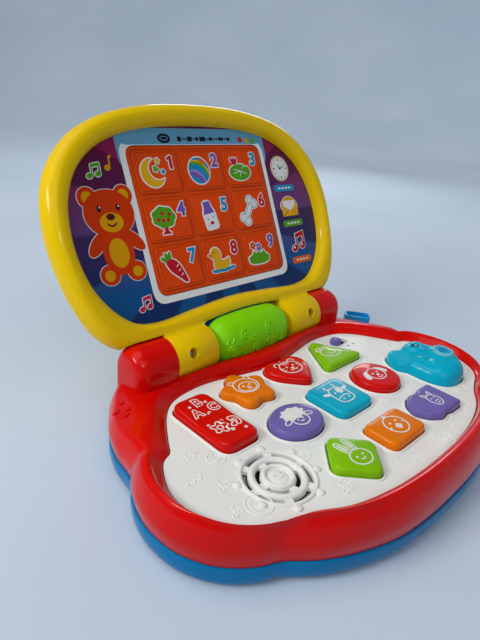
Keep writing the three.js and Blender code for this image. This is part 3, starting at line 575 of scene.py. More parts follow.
def rim_point(from_panel=None, from_outer=None):
    """A distance across the rim from the panel's edge, or from the outer one, in narrow places less."""
    across = outer_edge - panel_edge
    width = np.linalg.norm(across, axis=1, keepdims=True)
    if from_outer is None:
        distance = np.minimum(from_panel, width * 0.44)
    else:
        distance = width - np.minimum(from_outer, width * 0.5)
    return panel_edge + across / width * distance


def smooth_stack(levels, per=4):
    """Rings through a list of (outline, height), with a smooth section between them."""
    return list(catmull([ring_at(o, z) for o, z in levels], per, False))


def roller_radius(x):
    """The roller bulges towards its middle."""
    return 14.9 + 2.4 * (1 - (x / 36.0) ** 2)


def both_ways(profile, side):
    """A turned profile drawn for the right side, or its mirror image for the left."""
    return profile if side > 0 else [(r, -x) for r, x in profile[::-1]]


def hinge_space(extra, out):
    """Room around the roller and the barrels, `extra` larger than they are and `out` long on each side."""
    stations = np.linspace(-36.4, 36.4, 25)
    inner = [(max(roller_radius(x), BARREL_RADIUS) + extra, x) for x in stations]
    end = BARREL_RADIUS + extra
    profile = [(0, -out), (end, -out)] + inner + [(end, out), (0, out)]
    return Shape().turned(profile, "x", HINGE, 96)


def tower(side):
    """Hinge tower: upright walls, a round top and a dished outer end."""
    rings = []
    ends = [(69.7, 0.0)] + [(88 + 9.2 * math.sin(a), 6.6 * (1 - math.cos(a)))
                            for a in np.linspace(0, math.pi / 2, 10)]
    for x, less in ends:
        r = BARREL_RADIUS - less
        a = np.linspace(math.pi, 0, 33)
        y, z = r * np.cos(a), HINGE[2] + r * np.sin(a)
        low = np.linspace(HINGE[2], 14.2, 10)[1:]
        wall = np.full(len(low), r)
        y = np.concatenate([-wall, y, wall])
        z = np.concatenate([low[::-1], z, low])
        rings.append(np.column_stack([np.full(len(y), side * x), y + HINGE[1], z]))
    return Shape().loft(rings)


def top_shell():
    """Red rim: one loop of rings up the inner wall, over the crest and down the outside, then back inside."""
    lip = PANEL_TOP - 1.2
    flank = np.clip((np.abs(outer_edge[:, :1]) - 94) / 13, 0, 1)  # the side lobes have a softer rim
    flank = flank * flank * (3 - 2 * flank)
    dip = fold(9.0)
    slope = 4.2 * flank * np.clip((outer_edge[:, 1:] - 2) / 24, 0, 1)  # the back corners fall away outwards

    def ring(from_panel, from_outer, height, soft, soft_height):
        share = (1 - flank, flank)
        if from_outer is None:
            flat = rim_point(from_panel * share[0] + soft * share[1])
        else:
            away = from_outer * share[0] + soft * share[1]
            flat = rim_point(None, away + 0.09 * dip * (height - PARTING_Z))
        z = height * share[0] + soft_height * share[1]
        if from_outer is not None:
            z = z - slope * np.clip((z - 22.6) / 14, 0, 1)
        return np.hstack([flat, z - dip * np.clip(z - 31, 0, 6) * 0.2])

    outside = list(catmull([
        ring(0.35, None, lip, 0.35, lip), ring(0.5, None, 31.4, 0.7, 31.3), ring(1.5, None, 34.6, 2.6, 32.9),
        ring(3.1, None, 37.1, 5.2, 34.9), ring(5.6, None, RIM_TOP - 0.2, 9.2, 36.5),
        ring(None, 8.4, RIM_TOP - 0.1, 6.6, 36.6), ring(None, 5.2, 36.3, 4.3, 35.3),
        ring(None, 2.8, 32.8, 2.7, 32.6), ring(None, 0.9, 27.6, 1.1, 27.8), ring(None, 0.1, 22.6, 0.1, 22.6),
        ring(None, 0.5, 18.0, 0.5, 18.0), ring(None, 1.5, PARTING_Z, 1.5, PARTING_Z),
    ], 4, False))
    for r in outside:
        r[:, 2] = np.minimum(r[:, 2], RIM_TOP)
    inside = [ring_at(rim_point(None, 2.4), PARTING_Z), np.hstack([rim_point(None, 3.6), 28 - 0.6 * slope]),
              np.hstack([rim_point(None, 8), 33.6 - slope]),
              ring_at(rim_point(6), 33.2), ring_at(rim_point(3.4), 31.4), ring_at(rim_point(2.6), lip)]
    shell = Shape().loft([r + SHIFT for r in outside + inside], loop=True)
    obj = shell.make("shell_rim", M["red"], "base", "red_plastic")
    floor = Shape().prism(inset(0.7) + SHIFT[:2], 20, RIM_TOP - 0.35)
    tub = combine(hinge_space(3.2, BARREL_OUT + 1).make("tub", []), [floor], "INTERSECT")
    combine(obj, [tub, tower(-1), tower(1)], "UNION")
    combine(obj, [hinge_space(0.8, BARREL_OUT + 0.4)], sharp=30)
    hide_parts("top_shell")
    relief = Shape()
    surface = outward(ground(obj))
    for x, y, r in ((-113.5, 32.0, 2.0), (-108.5, 28.5, 1.8), (-112.0, 24.5, 1.5), (-107.5, 36.5, 1.5)):
        relief.patch(star(0.8 * r, 0.2 * r, 30, 0.4, (x, y + CENTRE_Y)), -0.4, 0.7, surface)
    framed = (outer_edge[:, 0] > 0) & (np.abs(outer_edge[:, 1] - 23) < 18)
    low, high = [rim_point(d)[framed] + SHIFT[:2] for d in (1.1, 4.2)]
    path = evenly(np.vstack([low, high[::-1]]), 1.2)
    relief.strip(path, bead(1.1, 0.7), surface, True)
    relief.make("rim_relief", M["red"], "base", "red_plastic")


def ground(obj):
    """A place(x, y, height) on top of a piece: the point above or below its surface at (x, y)."""
    mesh = obj.data
    tree = BVHTree.FromPolygons([v.co / MM for v in mesh.vertices], [list(p.vertices) for p in mesh.polygons])

    def place(x, y, h):
        hit = tree.ray_cast(Vector((x, y, 200)), Vector((0, 0, -1)))[0]
        return (x, y, (hit.z if hit else 0) + h)
    return place


def outward(surface):
    """The same kind of place, with its heights counted at right angles to the surface."""
    reach = 0.3

    def place(x, y, h):
        slopes = [surface(x - dx, y - dy, 0)[2] - surface(x + dx, y + dy, 0)[2]
                  for dx, dy in ((reach, 0), (0, reach))]
        return tuple(Vector(surface(x, y, 0)) + h * Vector((*slopes, 2 * reach)).normalized())
    return place


def level(z):
    return lambda x, y, h: (x, y, z + h)


def bottom_shell():
    """Blue tray with its battery bay, the holes for feet, screws and door, and the strap loop."""
    outside = smooth_stack([
        (inset(7.5), 1.0), (inset(4.6), 1.25), (inset(2.3), 2.7), (inset(1.0), 5.2), (inset(0.45), 8.6),
        (inset(0.6), SHELL_TOP - 0.5), (inset(1.0), SHELL_TOP),
    ], 3)
    inside = [ring_at(inset(2.7), SHELL_TOP), ring_at(inset(3.8), 6.6), ring_at(inset(7.0), 3.4)]
    outer = Shape().loft([r + SHIFT for r in outside])
    obj = outer.make("shell_base", M["blue"], "base", "blue_plastic")
    hollow = Shape().loft([r + SHIFT for r in (inside[2], inside[1], inside[0] + (0, 0, 1))])
    bay_low, bay_high = box_mm("battery_contact_bridge")[0], box_mm("battery_contact_flat")[1]
    door_low, door_high = box_mm("battery_door")
    bay = box_shape((bay_low[0] - 2, door_low[1] + 2, 2), (bay_high[0] + 2, door_high[1] - 8, 19.6))
    combine(obj, [hollow])
    combine(obj, [bay], "UNION")
    seat = oblong(*(door_high - door_low + 0.7)[:2], 3.4, at=(door_low + door_high)[:2] / 2)
    well = box_shape((bay_low[0] - 0.3, door_low[1] + 3.6, 0), (bay_high[0] + 0.3, door_high[1] - 9.4, 18.4))
    cuts = [well, Shape().prism(seat, 0, 2.4)]
    for kind, count, radius, steps, depth in (("foot", 4, 7.35, 48, 1.9), ("case_screw", 6, 3.2, 32, 6.4)):
        for i in range(1, count + 1):
            cuts.append(Shape().prism(circle(radius, steps, middle(f"{kind}_{i}")[:2]), 0, depth))
    combine(obj, cuts)
    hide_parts("bottom_shell")
    loop = Shape()
    centre, turn = np.array([127.4, 35.3 + CENTRE_Y]), spin(-50.4)
    section = [(21.4, 3.4, 3.2), (21.6, 3.5, 4.0), (21.6, 3.5, 31.2), (21.2, 3.4, 31.8), (20.6, 3.2, 32.0),
               (18.8, 2.7, 32.0), (18.4, 2.6, 31.4), (18.4, 2.6, 3.9), (18.8, 2.7, 3.2)]
    loop.loft([ring_at(oblong(w, w - 10, r, 6) @ turn + centre, z) for w, r, z in section], loop=True)
    web = rounded([(-7, -13), (7, -13), (7, -5.3), (-7, -5.3)], 0.8, 2) @ turn + centre
    # the loop wears the brighter copy of the blue plastic: painted light
    obj = loop.make("strap_loop", M["loop"], "base", "blue_plastic")
    combine(obj, [Shape().prism(web, 3.4, SHELL_TOP - 0.3)], "UNION")


def box_shape(low, high):
    (x0, y0, z0), (x1, y1, z1) = low, high
    return Shape().prism(np.array([(x0, y0), (x1, y0), (x1, y1), (x0, y1)]), z0, z1)


# ---------------------------------------------------------------- base: panel and keys

def star_key():
    return polar(lambda a: 15.4 + 2.1 * math.cos(5 * (a - math.pi / 2)), 90)


def heart_key():
    half = [(0, -16.8), (8.5, -10.2), (15.6, -1.2), (16.8, 7.4), (10.8, 13.4), (4.2, 13.2), (0, 11.0)]
    return evenly(mirrored(half, 8), 1.1)


def fish_key():
    upper = [(18.4, 0), (18.4, 12.4), (3.6, 12.4), (1.4, 10.6), (-6, 12.6), (-14.2, 7.8)]
    lower = [(x, -y) for x, y in upper[:0:-1]]
    return evenly(rounded(upper[1:] + [(-18.6, 0)] + lower, 2.6, 5), 1.0)


KEY_SHAPES = {
    "star": (star_key(), "orange"),
    "heart": (heart_key(), "red"),
    "triangle": (evenly(rounded([(-21.5, -15.5), (21.5, -15.5), (0, 19.5)], 7.4, 9), 1.1), "green"),
    "oval": (ellipse(17.6, 14.2, 90), "purple"),
    "square": (evenly(oblong(32, 31, 6.4, 8), 1.1), "cyan"),
    "circle": (circle(16.4, 90), "red"),
    "diamond": (evenly(rounded([(0, -18.6), (18.6, 0), (0, 18.6), (-18.6, 0)], 5.6, 8), 1.1), "green"),
    "rectangle": (evenly(oblong(34, 22.6, 5.0, 8), 1.1), "orange"),
    "fish": (fish_key(), "purple"),
}
KEY_PLACES = {
    "star": (-39.7, 3.5), "heart": (1.2, 3.0), "triangle": (42.6, 3.2), "oval": (-39.7, -36.2),
    "square": (1.2, -36.2), "circle": (42.6, -36.2), "diamond": (-39.7, -75.3),
    "rectangle": (1.2, -75.3), "fish": (43.2, -75.3),
}
ROCKER_AT, ROCKER_SIZE = np.array([-77.3, -9.0 + CENTRE_Y]), (25.4, 47.6)
MOUSE_AT = np.array([88.2, -50.5 + CENTRE_Y])
SPEAKER_AT = np.array([-80.5, -59.2 + CENTRE_Y])
SLIDER_AT, SLIDER_TRAVEL = np.array([64.5, 12.7 + CENTRE_Y]), 10.0
KEY_AT = {k: np.array([x, y + CENTRE_Y]) for k, (x, y) in KEY_PLACES.items()}


def mouse_radius(a):
    """Plan of the mouse about its middle: a soft oblong with a blunt snout at its back left."""
    body = (abs(math.cos(a) / 17.9) ** 2.7 + abs(math.sin(a) / 23.6) ** 2.7) ** (-1 / 2.7)
    return body + 5.0 * math.exp(-(((a - 2.3) / 0.47) ** 8))


def bead(width, height, sunk=0.15):
    """Half-round section of a raised line, as (across, up) points."""
    a = np.linspace(math.pi, 0, 7)
    return [(-width / 2, -sunk)] + [(width / 2 * math.cos(t), height * math.sin(t)) for t in a] \
        + [(width / 2, -sunk)]


def stripe(width, height):
    """Flat section of a printed line."""
    w = width / 2
    return [(-w, -0.1), (-w, height), (w, height), (w, -0.1)]


def arc(r, start, stop, at=(0, 0), steps=24, squash=1.0):
    a = np.radians(np.linspace(start, stop, steps))
    return np.stack([r * np.cos(a), squash * r * np.sin(a)], 1) + at


def spiral(r0, r1, turns, at, start=0.0, steps=40):
    a = np.linspace(0, turns * 2 * math.pi, steps)
    r = np.linspace(r0, r1, steps)
    return np.stack([r * np.cos(a + start), r * np.sin(a + start)], 1) + at


def note_outline(size, at):
    """A pair of quavers as lines: two heads, then the stems and the beam in one."""
    stems = [(-0.06, -0.38), (-0.02, 0.45), (0.66, 0.6), (0.66, -0.28)]
    heads = [ellipse(0.26, 0.2, 18, head, 20) for head in ((-0.3, -0.42), (0.42, -0.32))]
    return [size * np.array(line) + at for line in heads + [stems]]


def slots():
    """Outlines of the slots of the speaker's grille."""
    out = []
    for r, w, n, start, stop in ((16.35, 2.6, 6, 8, 54), (10.2, 2.4, 4, 12, 78)):
        for i in range(n):
            a, b = start + i * 360 / n, stop + i * 360 / n
            sides = arc(r + w / 2, a, b, SPEAKER_AT, 12), arc(r - w / 2, b, a, SPEAKER_AT, 12)
            out.append(np.vstack(sides))
    return out


def panel():
    """White panel with its holes, their raised rims and the figure over the speaker."""
    levels = ((panel_edge, PANEL_LOW), (panel_edge, PANEL_TOP - 0.25),
              (between(panel_edge, outer_edge, -0.25), PANEL_TOP))
    obj = Shape().loft([ring_at(o, z) + SHIFT for o, z in levels]).make(
        "panel_plate", M["white"], "base", "white_plastic")
    holes = [grown(shape, 0.45) + KEY_AT[k] for k, (shape, _) in KEY_SHAPES.items()]
    holes.append(oblong(ROCKER_SIZE[0] + 0.9, ROCKER_SIZE[1] + 1.4, 7.4, 8, ROCKER_AT))
    holes.append(polar(lambda a: mouse_radius(a) + 0.45, 96, at=MOUSE_AT))
    slot = oblong(SLIDER_TRAVEL + 6.6, 6.2, 3, 6, SLIDER_AT + (SLIDER_TRAVEL / 2, 0))
    rims = [evenly(h, 1.2) for h in holes]
    cutters = Shape()
    for h in holes + [slot] + slots():
        cutters.prism(h, PANEL_LOW - 1, PANEL_TOP + 1)
    combine(obj, [cutters])
    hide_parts("keyboard_panel")
    top = level(PANEL_TOP)
    raised = Shape()
    for h in rims:
        raised.strip(grown(h, 0.9), bead(1.7, 0.8), top, True)
    raised.strip(grown(evenly(slot, 0.8), 0.5), bead(0.9, 0.3), top, True)
    for r, w, h in ((18.9, 2.2, 1.2), (13.3, 3.2, 1.3), (7.4, 2.6, 1.9)):
        raised.strip(circle(r, 72, SPEAKER_AT), bead(w, h), top, True)
    dome = [(0, -0.2), (5.4, -0.2), (5.2, 0.25), (4.2, 0.55), (2.4, 0.78), (0, 0.85)]
    raised.turned(dome, "z", (*SPEAKER_AT, PANEL_TOP), 40)
    for x in (-1.7, 1.7):
        raised.patch(circle(0.9, 16, SPEAKER_AT + (x, 1.2)), 0.5, 1.25, top)
    raised.strip(arc(2.3, 200, 340, SPEAKER_AT + (0, 0.3), 14), bead(0.8, 1.3), top)
    for i in range(8):
        a = math.radians(22 + i * 45)
        hub = SPEAKER_AT + 21.3 * np.array([math.cos(a), math.sin(a)])
        bumps = [(0, -0.2), (2.5, -0.2), (2.3, 0.6), (1.5, 1.2), (0, 1.4)]
        raised.turned(bumps, "z", (*hub, PANEL_TOP), 20)
    raised.make("panel_relief", M["white"], "base", "white_plastic", sharp=50)
    panel_doodles(top)
    dots = Shape()
    for dx, ink in ((6.6, "purple"), (13.0, "blue")):
        dots.prism(circle(1.25, 24, SLIDER_AT + (dx, -7.4)), PANEL_TOP - 0.1, PANEL_TOP + 0.05, INK[ink])
    dots.make("switch_marks", PRINTS, "base", "purple_plastic")


def panel_doodles(top):
    """Notes, spirals in circles, stars and waves, drawn on the panel in fine raised lines."""
    doodles = Shape()
    paths = []
    for x, y, s in ((-106, -46, 6.5), (-60.0, -84, 6), (64, -88, 6), (-112.5, -62, 5)):
        paths += [(p, i < 2) for i, p in enumerate(note_outline(s, (x, y + CENTRE_Y)))]
    for x, y, r in ((-101, -66, 5.0), (-95, -30, 3.2), (20, -97, 4.4), (82, -76, 4.2), (100, -18, 4.6),
                    (21.5, 12.5, 3.0), (-58.5, -55, 3.4), (22, -54, 3.0)):
        at = np.array([x, y + CENTRE_Y])
        paths += [(spiral(0.6, r, 1.8, at, x), False), (circle(r + 1.6, 40, at), True)]
    for x, y, r in ((-104, -20, 3.6), (-24, -92, 3.8), (98, -68, 3.2), (62, -55, 3.0), (-15, -55, 2.6),
                    (80, 2, 3.4)):
        paths.append((star(0.78 * r, 0.22 * r, 40, 0.7, (x, y + CENTRE_Y)), True))
    for x, y in ((-114, -36), (-8, -96), (40, -94), (104, -58)):
        t = np.linspace(-5, 5, 30)
        paths.append((np.stack([x + t, y + CENTRE_Y + 1.3 * np.sin(t * 1.6)], 1), False))
    for p, closed in paths:
        doodles.strip(p, bead(1.0, 0.27), top, closed)
    doodles.make("panel_doodles", M["white"], "base", "white_plastic", sharp=60)


INK_HEIGHT = 0.13
EDGE = [(0.0, 2.6), (0.12, 1.7), (0.45, 0.95), (1.0, 0.42), (1.7, 0.12), (2.5, 0.0)]  # (inward, down)


def key(name):
    """Key cap: skirt, upright wall, rounded edge and a slightly crowned top with its print."""
    outline, colour = KEY_SHAPES[name]
    at, crown = KEY_AT[name], 0.45
    skirt = grown(outline, 1.2)
    levels = [(skirt, KEY_LOW - 1.0), (skirt, KEY_LOW), (outline, KEY_LOW)]
    levels += [(grown(outline, -inward), KEY_TOP - down - crown) for inward, down in EDGE]
    last = grown(outline, -EDGE[-1][0])
    levels += [(last * share, KEY_TOP - crown * share ** 2) for share in (0.86, 0.68, 0.48, 0.27, 0.1)]
    obj = Shape().loft([ring_at(o + at, z) for o, z in levels], hub=(*at, KEY_TOP)).make(
        "cap_" + name, M[colour], "key_" + name, colour + "_plastic", ["button_" + name], sharp=60)
    art = Shape()
    place = ground(obj)
    for kind, points, extra in KEY_ART[name]():
        p = np.asarray(points, float) + at
        if kind == "fill":
            art.patch(p, -0.15, extra, place)
        else:
            art.strip(p, stripe(extra, INK_HEIGHT), place, kind == "loop")
    art.make("print_" + name, M["line"], "key_" + name, "white_plastic")


def two_dots(x, y, r=0.8):
    """A pair of filled eyes."""
    return [("fill", ellipse(r, r, 16, p), 0.14) for p in ((-x, y), (x, y))]


def smile(at, r, start=205, stop=335):
    return [("line", arc(r, start, stop, at, 14), 0.7)]


def hoop(rx, ry, count, at, width, turn=0.0, step=0.6):
    return [("loop", evenly(ellipse(rx, ry, count, at, turn), step), width)]


def cat_art():
    out = hoop(8.6, 7.2, 50, (0, 1.2), 0.8)
    for side in (-1, 1):
        ear = [(side * 7.2, 4.5), (side * 8.6, 10.4), (side * 3.6, 7.9)]
        out.append(("line", catmull(ear, 5, False), 0.8))
    out += hoop(6.3, 4.7, 40, (0, -0.3), 0.7)
    out += two_dots(2.5, 1.0) + [("fill", ellipse(1.2, 0.8, 16, (0, -0.9)), 0.14)]
    return out + smile((0, -1.3), 1.6)


def tiger_art():
    out = hoop(8.4, 7.0, 50, (0, 0.6), 0.75)
    for x, start in ((-6.6, 10), (6.6, -20)):
        out.append(("line", arc(2.6, start, start + 190, (x, 6.2), 14), 0.75))
    for x in (-2.6, 0, 2.6):
        out.append(("line", [(x, 7.2), (x * 0.8, 5.6), (x * 0.7, 4.2)], 0.7))
    for side in (-1, 1):
        for y0, y1, y2 in ((1.6, 1.2, 1.2), (-1.2, -1.2, -0.9)):
            out.append(("line", [(side * 8, y0), (side * 6.8, y1), (side * 5.8, y2)], 0.7))
    out += two_dots(3, 1.6) + [("fill", ellipse(1.5, 0.9, 18, (0, -1.0)), 0.14)]
    return out + smile((-1.5, -1.6), 1.5) + smile((1.5, -1.6), 1.5)


def frog_art():
    out = hoop(9.0, 5.8, 50, (0, -1.8), 0.7)
    for x, start in ((-4.8, 10), (4.8, -30)):
        out.append(("line", arc(3.0, start, start + 200, (x, 4.0), 16), 0.7))
        out.append(("fill", ellipse(1.0, 1.0, 16, (x, 4.2)), 0.14))
    return out + smile((0, 2.2), 6.2, 222, 318)


def sheep_art():
    wool = polar(lambda a: 8.4 + 0.8 * math.cos(9 * a), 90, 0.62, (0, 3.6))
    out = [("fill", evenly(wool, 0.6), 0.12)] + hoop(5.6, 4.6, 40, (0, -2.8), 0.75)
    for side in (-1, 1):
        out += hoop(2.8, 1.5, 24, (side * 8.4, -1.0), 0.7, side * -20, 0.5)
    return out + two_dots(2, -2.4, 0.6) + smile((0, -3.0), 1.5)


def cow_art():
    head = [(0, -8.6), (5.6, -7.2), (6.6, -2.8), (6.2, 2.6), (3.6, 6.2)]
    head += [(-x, y) for x, y in head[:0:-1]]
    out = [("loop", evenly(catmull(head, 6, True), 0.6), 0.75)]
    for side in (-1, 1):
        out.append(("fill", ellipse(2.9, 1.3, 20, (side * 8.4, 3.2), side * 24), 0.12))
        horn = [(side * 3.0, 6.4), (side * 4.6, 8.4), (side * 3.6, 10.2)]
        out.append(("line", catmull(horn, 5, False), 1.0))
        out.append(("fill", ellipse(0.7, 0.7, 16, (side * 2.4, -5.2)), 0.14))
    out.append(("fill", ellipse(2.4, 3.0, 20, (2.6, 2.6), -10), 0.12))
    out.append(("fill", ellipse(0.8, 0.8, 16, (-2.6, 1.6)), 0.14))
    return out + [("line", arc(5.2, 20, 160, (0, -4.8), 18, 0.45), 0.7)]


def dog_art():
    out = hoop(6.6, 6.4, 44, (0, 0), 0.75)
    ear = np.array([(4.6, 6.0), (8.6, 4.4), (11.0, -1.2), (8.4, -2.6), (6.6, 1.6)])
    for flap in (ear * (-1, 1), ear[::-1]):
        out.append(("fill", catmull(flap, 5, True), 0.12))
    out += two_dots(2.4, 1.2, 0.85) + [("fill", ellipse(1.5, 1.0, 18, (0, -1.4)), 0.14)]
    return out + smile((0, -1.9), 2.4)


def rabbit_art():
    out = hoop(6.6, 5.6, 44, (0, -3.8), 0.8)
    for side in (-1, 1):
        ear = (side * 2.9, 6.2)
        out += hoop(1.9, 5.2, 36, ear, 0.8, side * -6)
        out.append(("fill", ellipse(0.7, 3.6, 24, ear, side * -6), 0.12))
    return out + two_dots(2.4, -3.0, 0.7) + smile((0, -4.2), 1.7)


def chick_art():
    out = hoop(7.6, 7.4, 50, (0, 0), 0.8)
    crest = [(-1.6, 9.4), (-0.4, 7.8), (0.2, 9.6), (0.8, 7.8), (2.0, 9.2)]
    out.append(("line", catmull(crest, 4, False), 0.7))
    out.append(("fill", rounded([(-2.9, -1.8), (0, -4.6), (2.9, -1.8), (0, 0.6)], 0.8, 3), 0.12))
    out += two_dots(2.8, 2.2)
    return out + [("line", arc(1.9, 90, stop, (x, -2.4), 12), 0.7) for x, stop in ((-5.2, 250), (5.2, -70))]


def fish_art():
    out = hoop(4.6, 5.4, 44, (2.4, -1.4), 0.7)
    for fin in ([(-1.4, 2.6), (-1.8, 6.8), (1.2, 4.2)], [(6.2, 2.6), (6.6, 6.8), (3.6, 4.2)]):
        out.append(("line", catmull(fin, 5, False), 0.7))
    out += [("fill", ellipse(0.6, 0.6, 16, (x, 0.2)), 0.14) for x in (0.8, 4.0)]
    for low, high, half in ((-3.2, -2.2, 2.0), (-5.0, -4.2, 1.6)):
        out.append(("line", [(2.4 - half, low), (2.4, high), (2.4 + half, low)], 0.6))
    return out


KEY_ART = {"star": cat_art, "heart": tiger_art, "triangle": frog_art, "oval": sheep_art, "square": cow_art,
           "circle": dog_art, "diamond": rabbit_art, "rectangle": chick_art, "fish": fish_art}


def letter(text, size, offset=0.0):
    """A printed character as (flat vertices, faces), about its own middle, in millimetres."""
    curve = bpy.data.curves.new("letter", "FONT")
    curve.body, curve.size, curve.extrude, curve.offset = text, size, 1.0, offset
    curve.align_x, curve.align_y, curve.resolution_u = "CENTER", "CENTER", 5
    obj = new_object("letter", curve)
    graph = bpy.context.evaluated_depsgraph_get()
    mesh = bpy.data.meshes.new_from_object(obj.evaluated_get(graph))
    bm = bmesh.new()
    bm.from_mesh(mesh)
    bmesh.ops.remove_doubles(bm, verts=bm.verts, dist=1e-4)
    bm.verts.index_update()
    verts = np.array([v.co for v in bm.verts])
    faces = [[v.index for v in f.verts] for f in bm.faces]
    bm.free()
    bpy.data.objects.remove(obj)
    bpy.data.curves.remove(curve)
    bpy.data.meshes.remove(mesh)
    return verts, faces


def stamp(shape, text, size, at, place, low, high, mat=0, offset=0.0, lean=0.0):
    """Sets a raised character on a surface."""
    verts, faces = letter(text, size, offset)
    out = [place(at[0] + x + lean * y, at[1] + y, high if z > 0 else low) for x, y, z in verts]
    shape.add(out, faces, mat)


def rocker():
    """Mode key: a block whose top falls in a shallow fold towards its middle."""
    high, dip = box_mm("mode_rocker")[1][2], 1.4
    reach = ROCKER_SIZE[1] / 2

    def ring(shape, down):
        top = high - dip * (1 - np.minimum(1.0, np.hypot(shape[:, 1], 1.2) / reach))
        return np.column_stack([shape + ROCKER_AT, top - down])

    outline = evenly(oblong(*ROCKER_SIZE, 7, 9), 1.1)
    last = grown(outline, -EDGE[-1][0])
    rings = [ring_at(outline + ROCKER_AT, KEY_LOW - 1)] + [ring(grown(outline, -i), down) for i, down in EDGE]
    rings += [ring(last * (share, 1), 0) for share in (0.85, 0.68, 0.5, 0.3, 0.12)]
    obj = Shape().loft(rings).make("rocker_cap", M["red"], "rocker", "red_plastic", ["mode_rocker"], sharp=60)
    shaft = Shape().turned(rod(1.3, -14.4, 14.4), "x", (*ROCKER_AT, 26.8), 20)
    combine(obj, [shaft], "UNION", sharp=60)
    place = ground(obj)
    art = Shape()
    for text, x, y in (("A", -5.6, 8.4), ("B", 0.6, 16.2), ("C", 6.4, 8.6)):
        for height, mat, thicker in ((0.12, 0, 0.75), (0.16, 1, 0.12)):
            stamp(art, text, 8.6, ROCKER_AT + (x, y), place, -0.2, height, mat, thicker)
    flower = ROCKER_AT + (-3.6, -8.2)
    art.strip(star(4.3, 1.1, 60, 0.6, flower), stripe(0.8, INK_HEIGHT), place, True)
    art.strip(circle(1.7, 20, flower), stripe(0.8, INK_HEIGHT), place, True)
    tune = [(3.4, -9.4), (5.2, -8.6), (5.2, -3.6), (9.6, -4.6), (9.6, -10.6), (7.4, -12.2), (6.2, -10.6),
            (7.6, -9.4), (8.0, -6.6), (6.6, -6.2), (6.6, -10.6), (4.2, -12.2), (2.6, -10.8)]
    art.strip(catmull(np.array(tune) + ROCKER_AT, 4, True), stripe(0.75, INK_HEIGHT), place, True)
    for x, y, r in ((-5.6, 15.2, 0.9), (5.4, 14.6, 0.9), (0.2, 5.2, 0.9), (1.4, -3.6, 1.0), (-7.4, -2.8, 0.8),
                    (0.6, -13.6, 1.3), (7.6, -16.4, 1.0)):
        art.patch(circle(r, 16, ROCKER_AT + (x, y)), -0.15, INK_HEIGHT, place)
    art.make("rocker_print", [M["line"], M["red"]], "rocker", "white_plastic")


def mouse():
    """Animal-shaped key: steep sides, a head with an eye and a low snout, and a round ear on its back."""
    top = box_mm("mouse_button")[1][2] + 1.7
    base = PANEL_TOP + 0.2

    lumps = [(1.5, 13.0, 7.5, 3.4), (8.6, -4.5, 9.5, 3.4), (-5, -14, 7.0, 1.2),
             (-7.5, 1.5, 3.0, 1.3), (-6.5, -6.0, 3.0, 1.3), (3.0, -16.5, 3.2, 1.3)]

    def height(x, y, rho):
        blunt = 8 + 18 * math.exp(-(((math.atan2(y, x) - 2.3) / 0.5) ** 8))
        side = (1 - rho ** blunt) ** 0.42 if rho < 1 else 0.0
        snout = 1 / (1 + math.exp(-2 * (-0.66 * x + 0.75 * y - 17.2)))
        back = top - 4.4 + 0.1 * x + sum(
            h * math.exp(-(((x - cx) ** 2 + (y - cy) ** 2) / (r * r)) ** 1.5) for cx, cy, r, h in lumps)
        return base + (back - 2.6 * snout - base) * side

    angles = np.arange(180) * 2 * math.pi / 180
    radii = np.array([mouse_radius(a) for a in angles])
    unit = np.stack([np.cos(angles), np.sin(angles)], 1)
    rings = [ring_at(unit * (radii + wider)[:, None] + MOUSE_AT, z)
             for wider, z in ((1.2, KEY_LOW - 1), (1.2, KEY_LOW), (0, KEY_LOW))]
    for rho in list(1 - 0.3 * np.linspace(0, 1, 14) ** 2) + list(np.linspace(0.66, 0.06, 17)):
        p = unit * (radii * rho)[:, None]
        z = [min(top, height(x, y, rho)) for x, y in p]
        rings.append(np.column_stack([p + MOUSE_AT, z]))
    obj = Shape().loft(rings, hub=(*MOUSE_AT, min(top, height(0, 0, 0)))).make(
        "mouse_cap", M["cyan"], "mouse", "cyan_plastic", ["mouse_button"], sharp=60)
    place = ground(obj)
    art = Shape()
    ear = MOUSE_AT + (8.4, -4.6)
    art.strip(ellipse(6.0, 6.4, 48, ear), bead(2.5, 1.2), place, True)
    for x, y in ((4.6, 16.4), (9.2, 14.0), (8.6, 9.0), (1.4, 8.0)):
        art.strip(arc(1.5, 20, 300, MOUSE_AT + (x, y), 16), bead(0.7, 0.22), place)
    art.make("mouse_ear", M["ear"], "mouse", "cyan_plastic", sharp=60)
    curl = Shape()
    curl.strip(spiral(0.8, 3.4, 1.5, ear, 0.5, 30), stripe(0.8, 0.16), place)
    curl.make("mouse_curl", M["blue"], "mouse", "cyan_plastic", sharp=60)
    eye = Shape()
    at = MOUSE_AT + (-1.2, 12.4)
    eye.patch(ellipse(2.6, 1.7, 24, at, -35), -0.2, 0.16, place, 0)
    eye.patch(circle(0.6, 14, at + (0.8, -0.5)), -0.1, 0.26, place, 1)
    eye.make("mouse_eye", [PRINTS[INK["black"]], M["line"]], "mouse", "cyan_plastic")


def slider():
    """Knob of the slide switch, a stem and a soft oval head with three grip lines."""
    low, high = box_mm("power_slider")
    at = middle("power_slider")[:2]
    levels = [(2.5, 2.5, low[2] - PANEL_TOP), (2.5, 2.5, 0.4), (4.4, 3.8, 0.4), (4.6, 4.0, 0.9),
              (4.5, 3.9, 3.2), (4.0, 3.4, 4.1), (3.0, 2.5, 4.5), (1.5, 1.2, high[2] - PANEL_TOP)]
    obj = Shape().loft([ring_at(ellipse(rx, ry, 40, at), PANEL_TOP + z) for rx, ry, z in levels]).make(
        "switch_knob", M["purple"], "slider", "purple_plastic", ["power_slider"], sharp=50)
    grip = Shape()
    place = ground(obj)
    for dx in (-1.6, 0, 1.6):
        grip.strip(np.array([(dx, t) for t in np.linspace(-1.9, 1.9, 6)]) + at, bead(0.5, 0.22), place)
    grip.make("switch_grip", M["purple"], "slider", "purple_plastic")


# ---------------------------------------------------------------- lid

def from_screen(distance):
    """The edge of the screen, drawn out towards the lid's."""
    return between(screen_edge, lid_edge, distance)


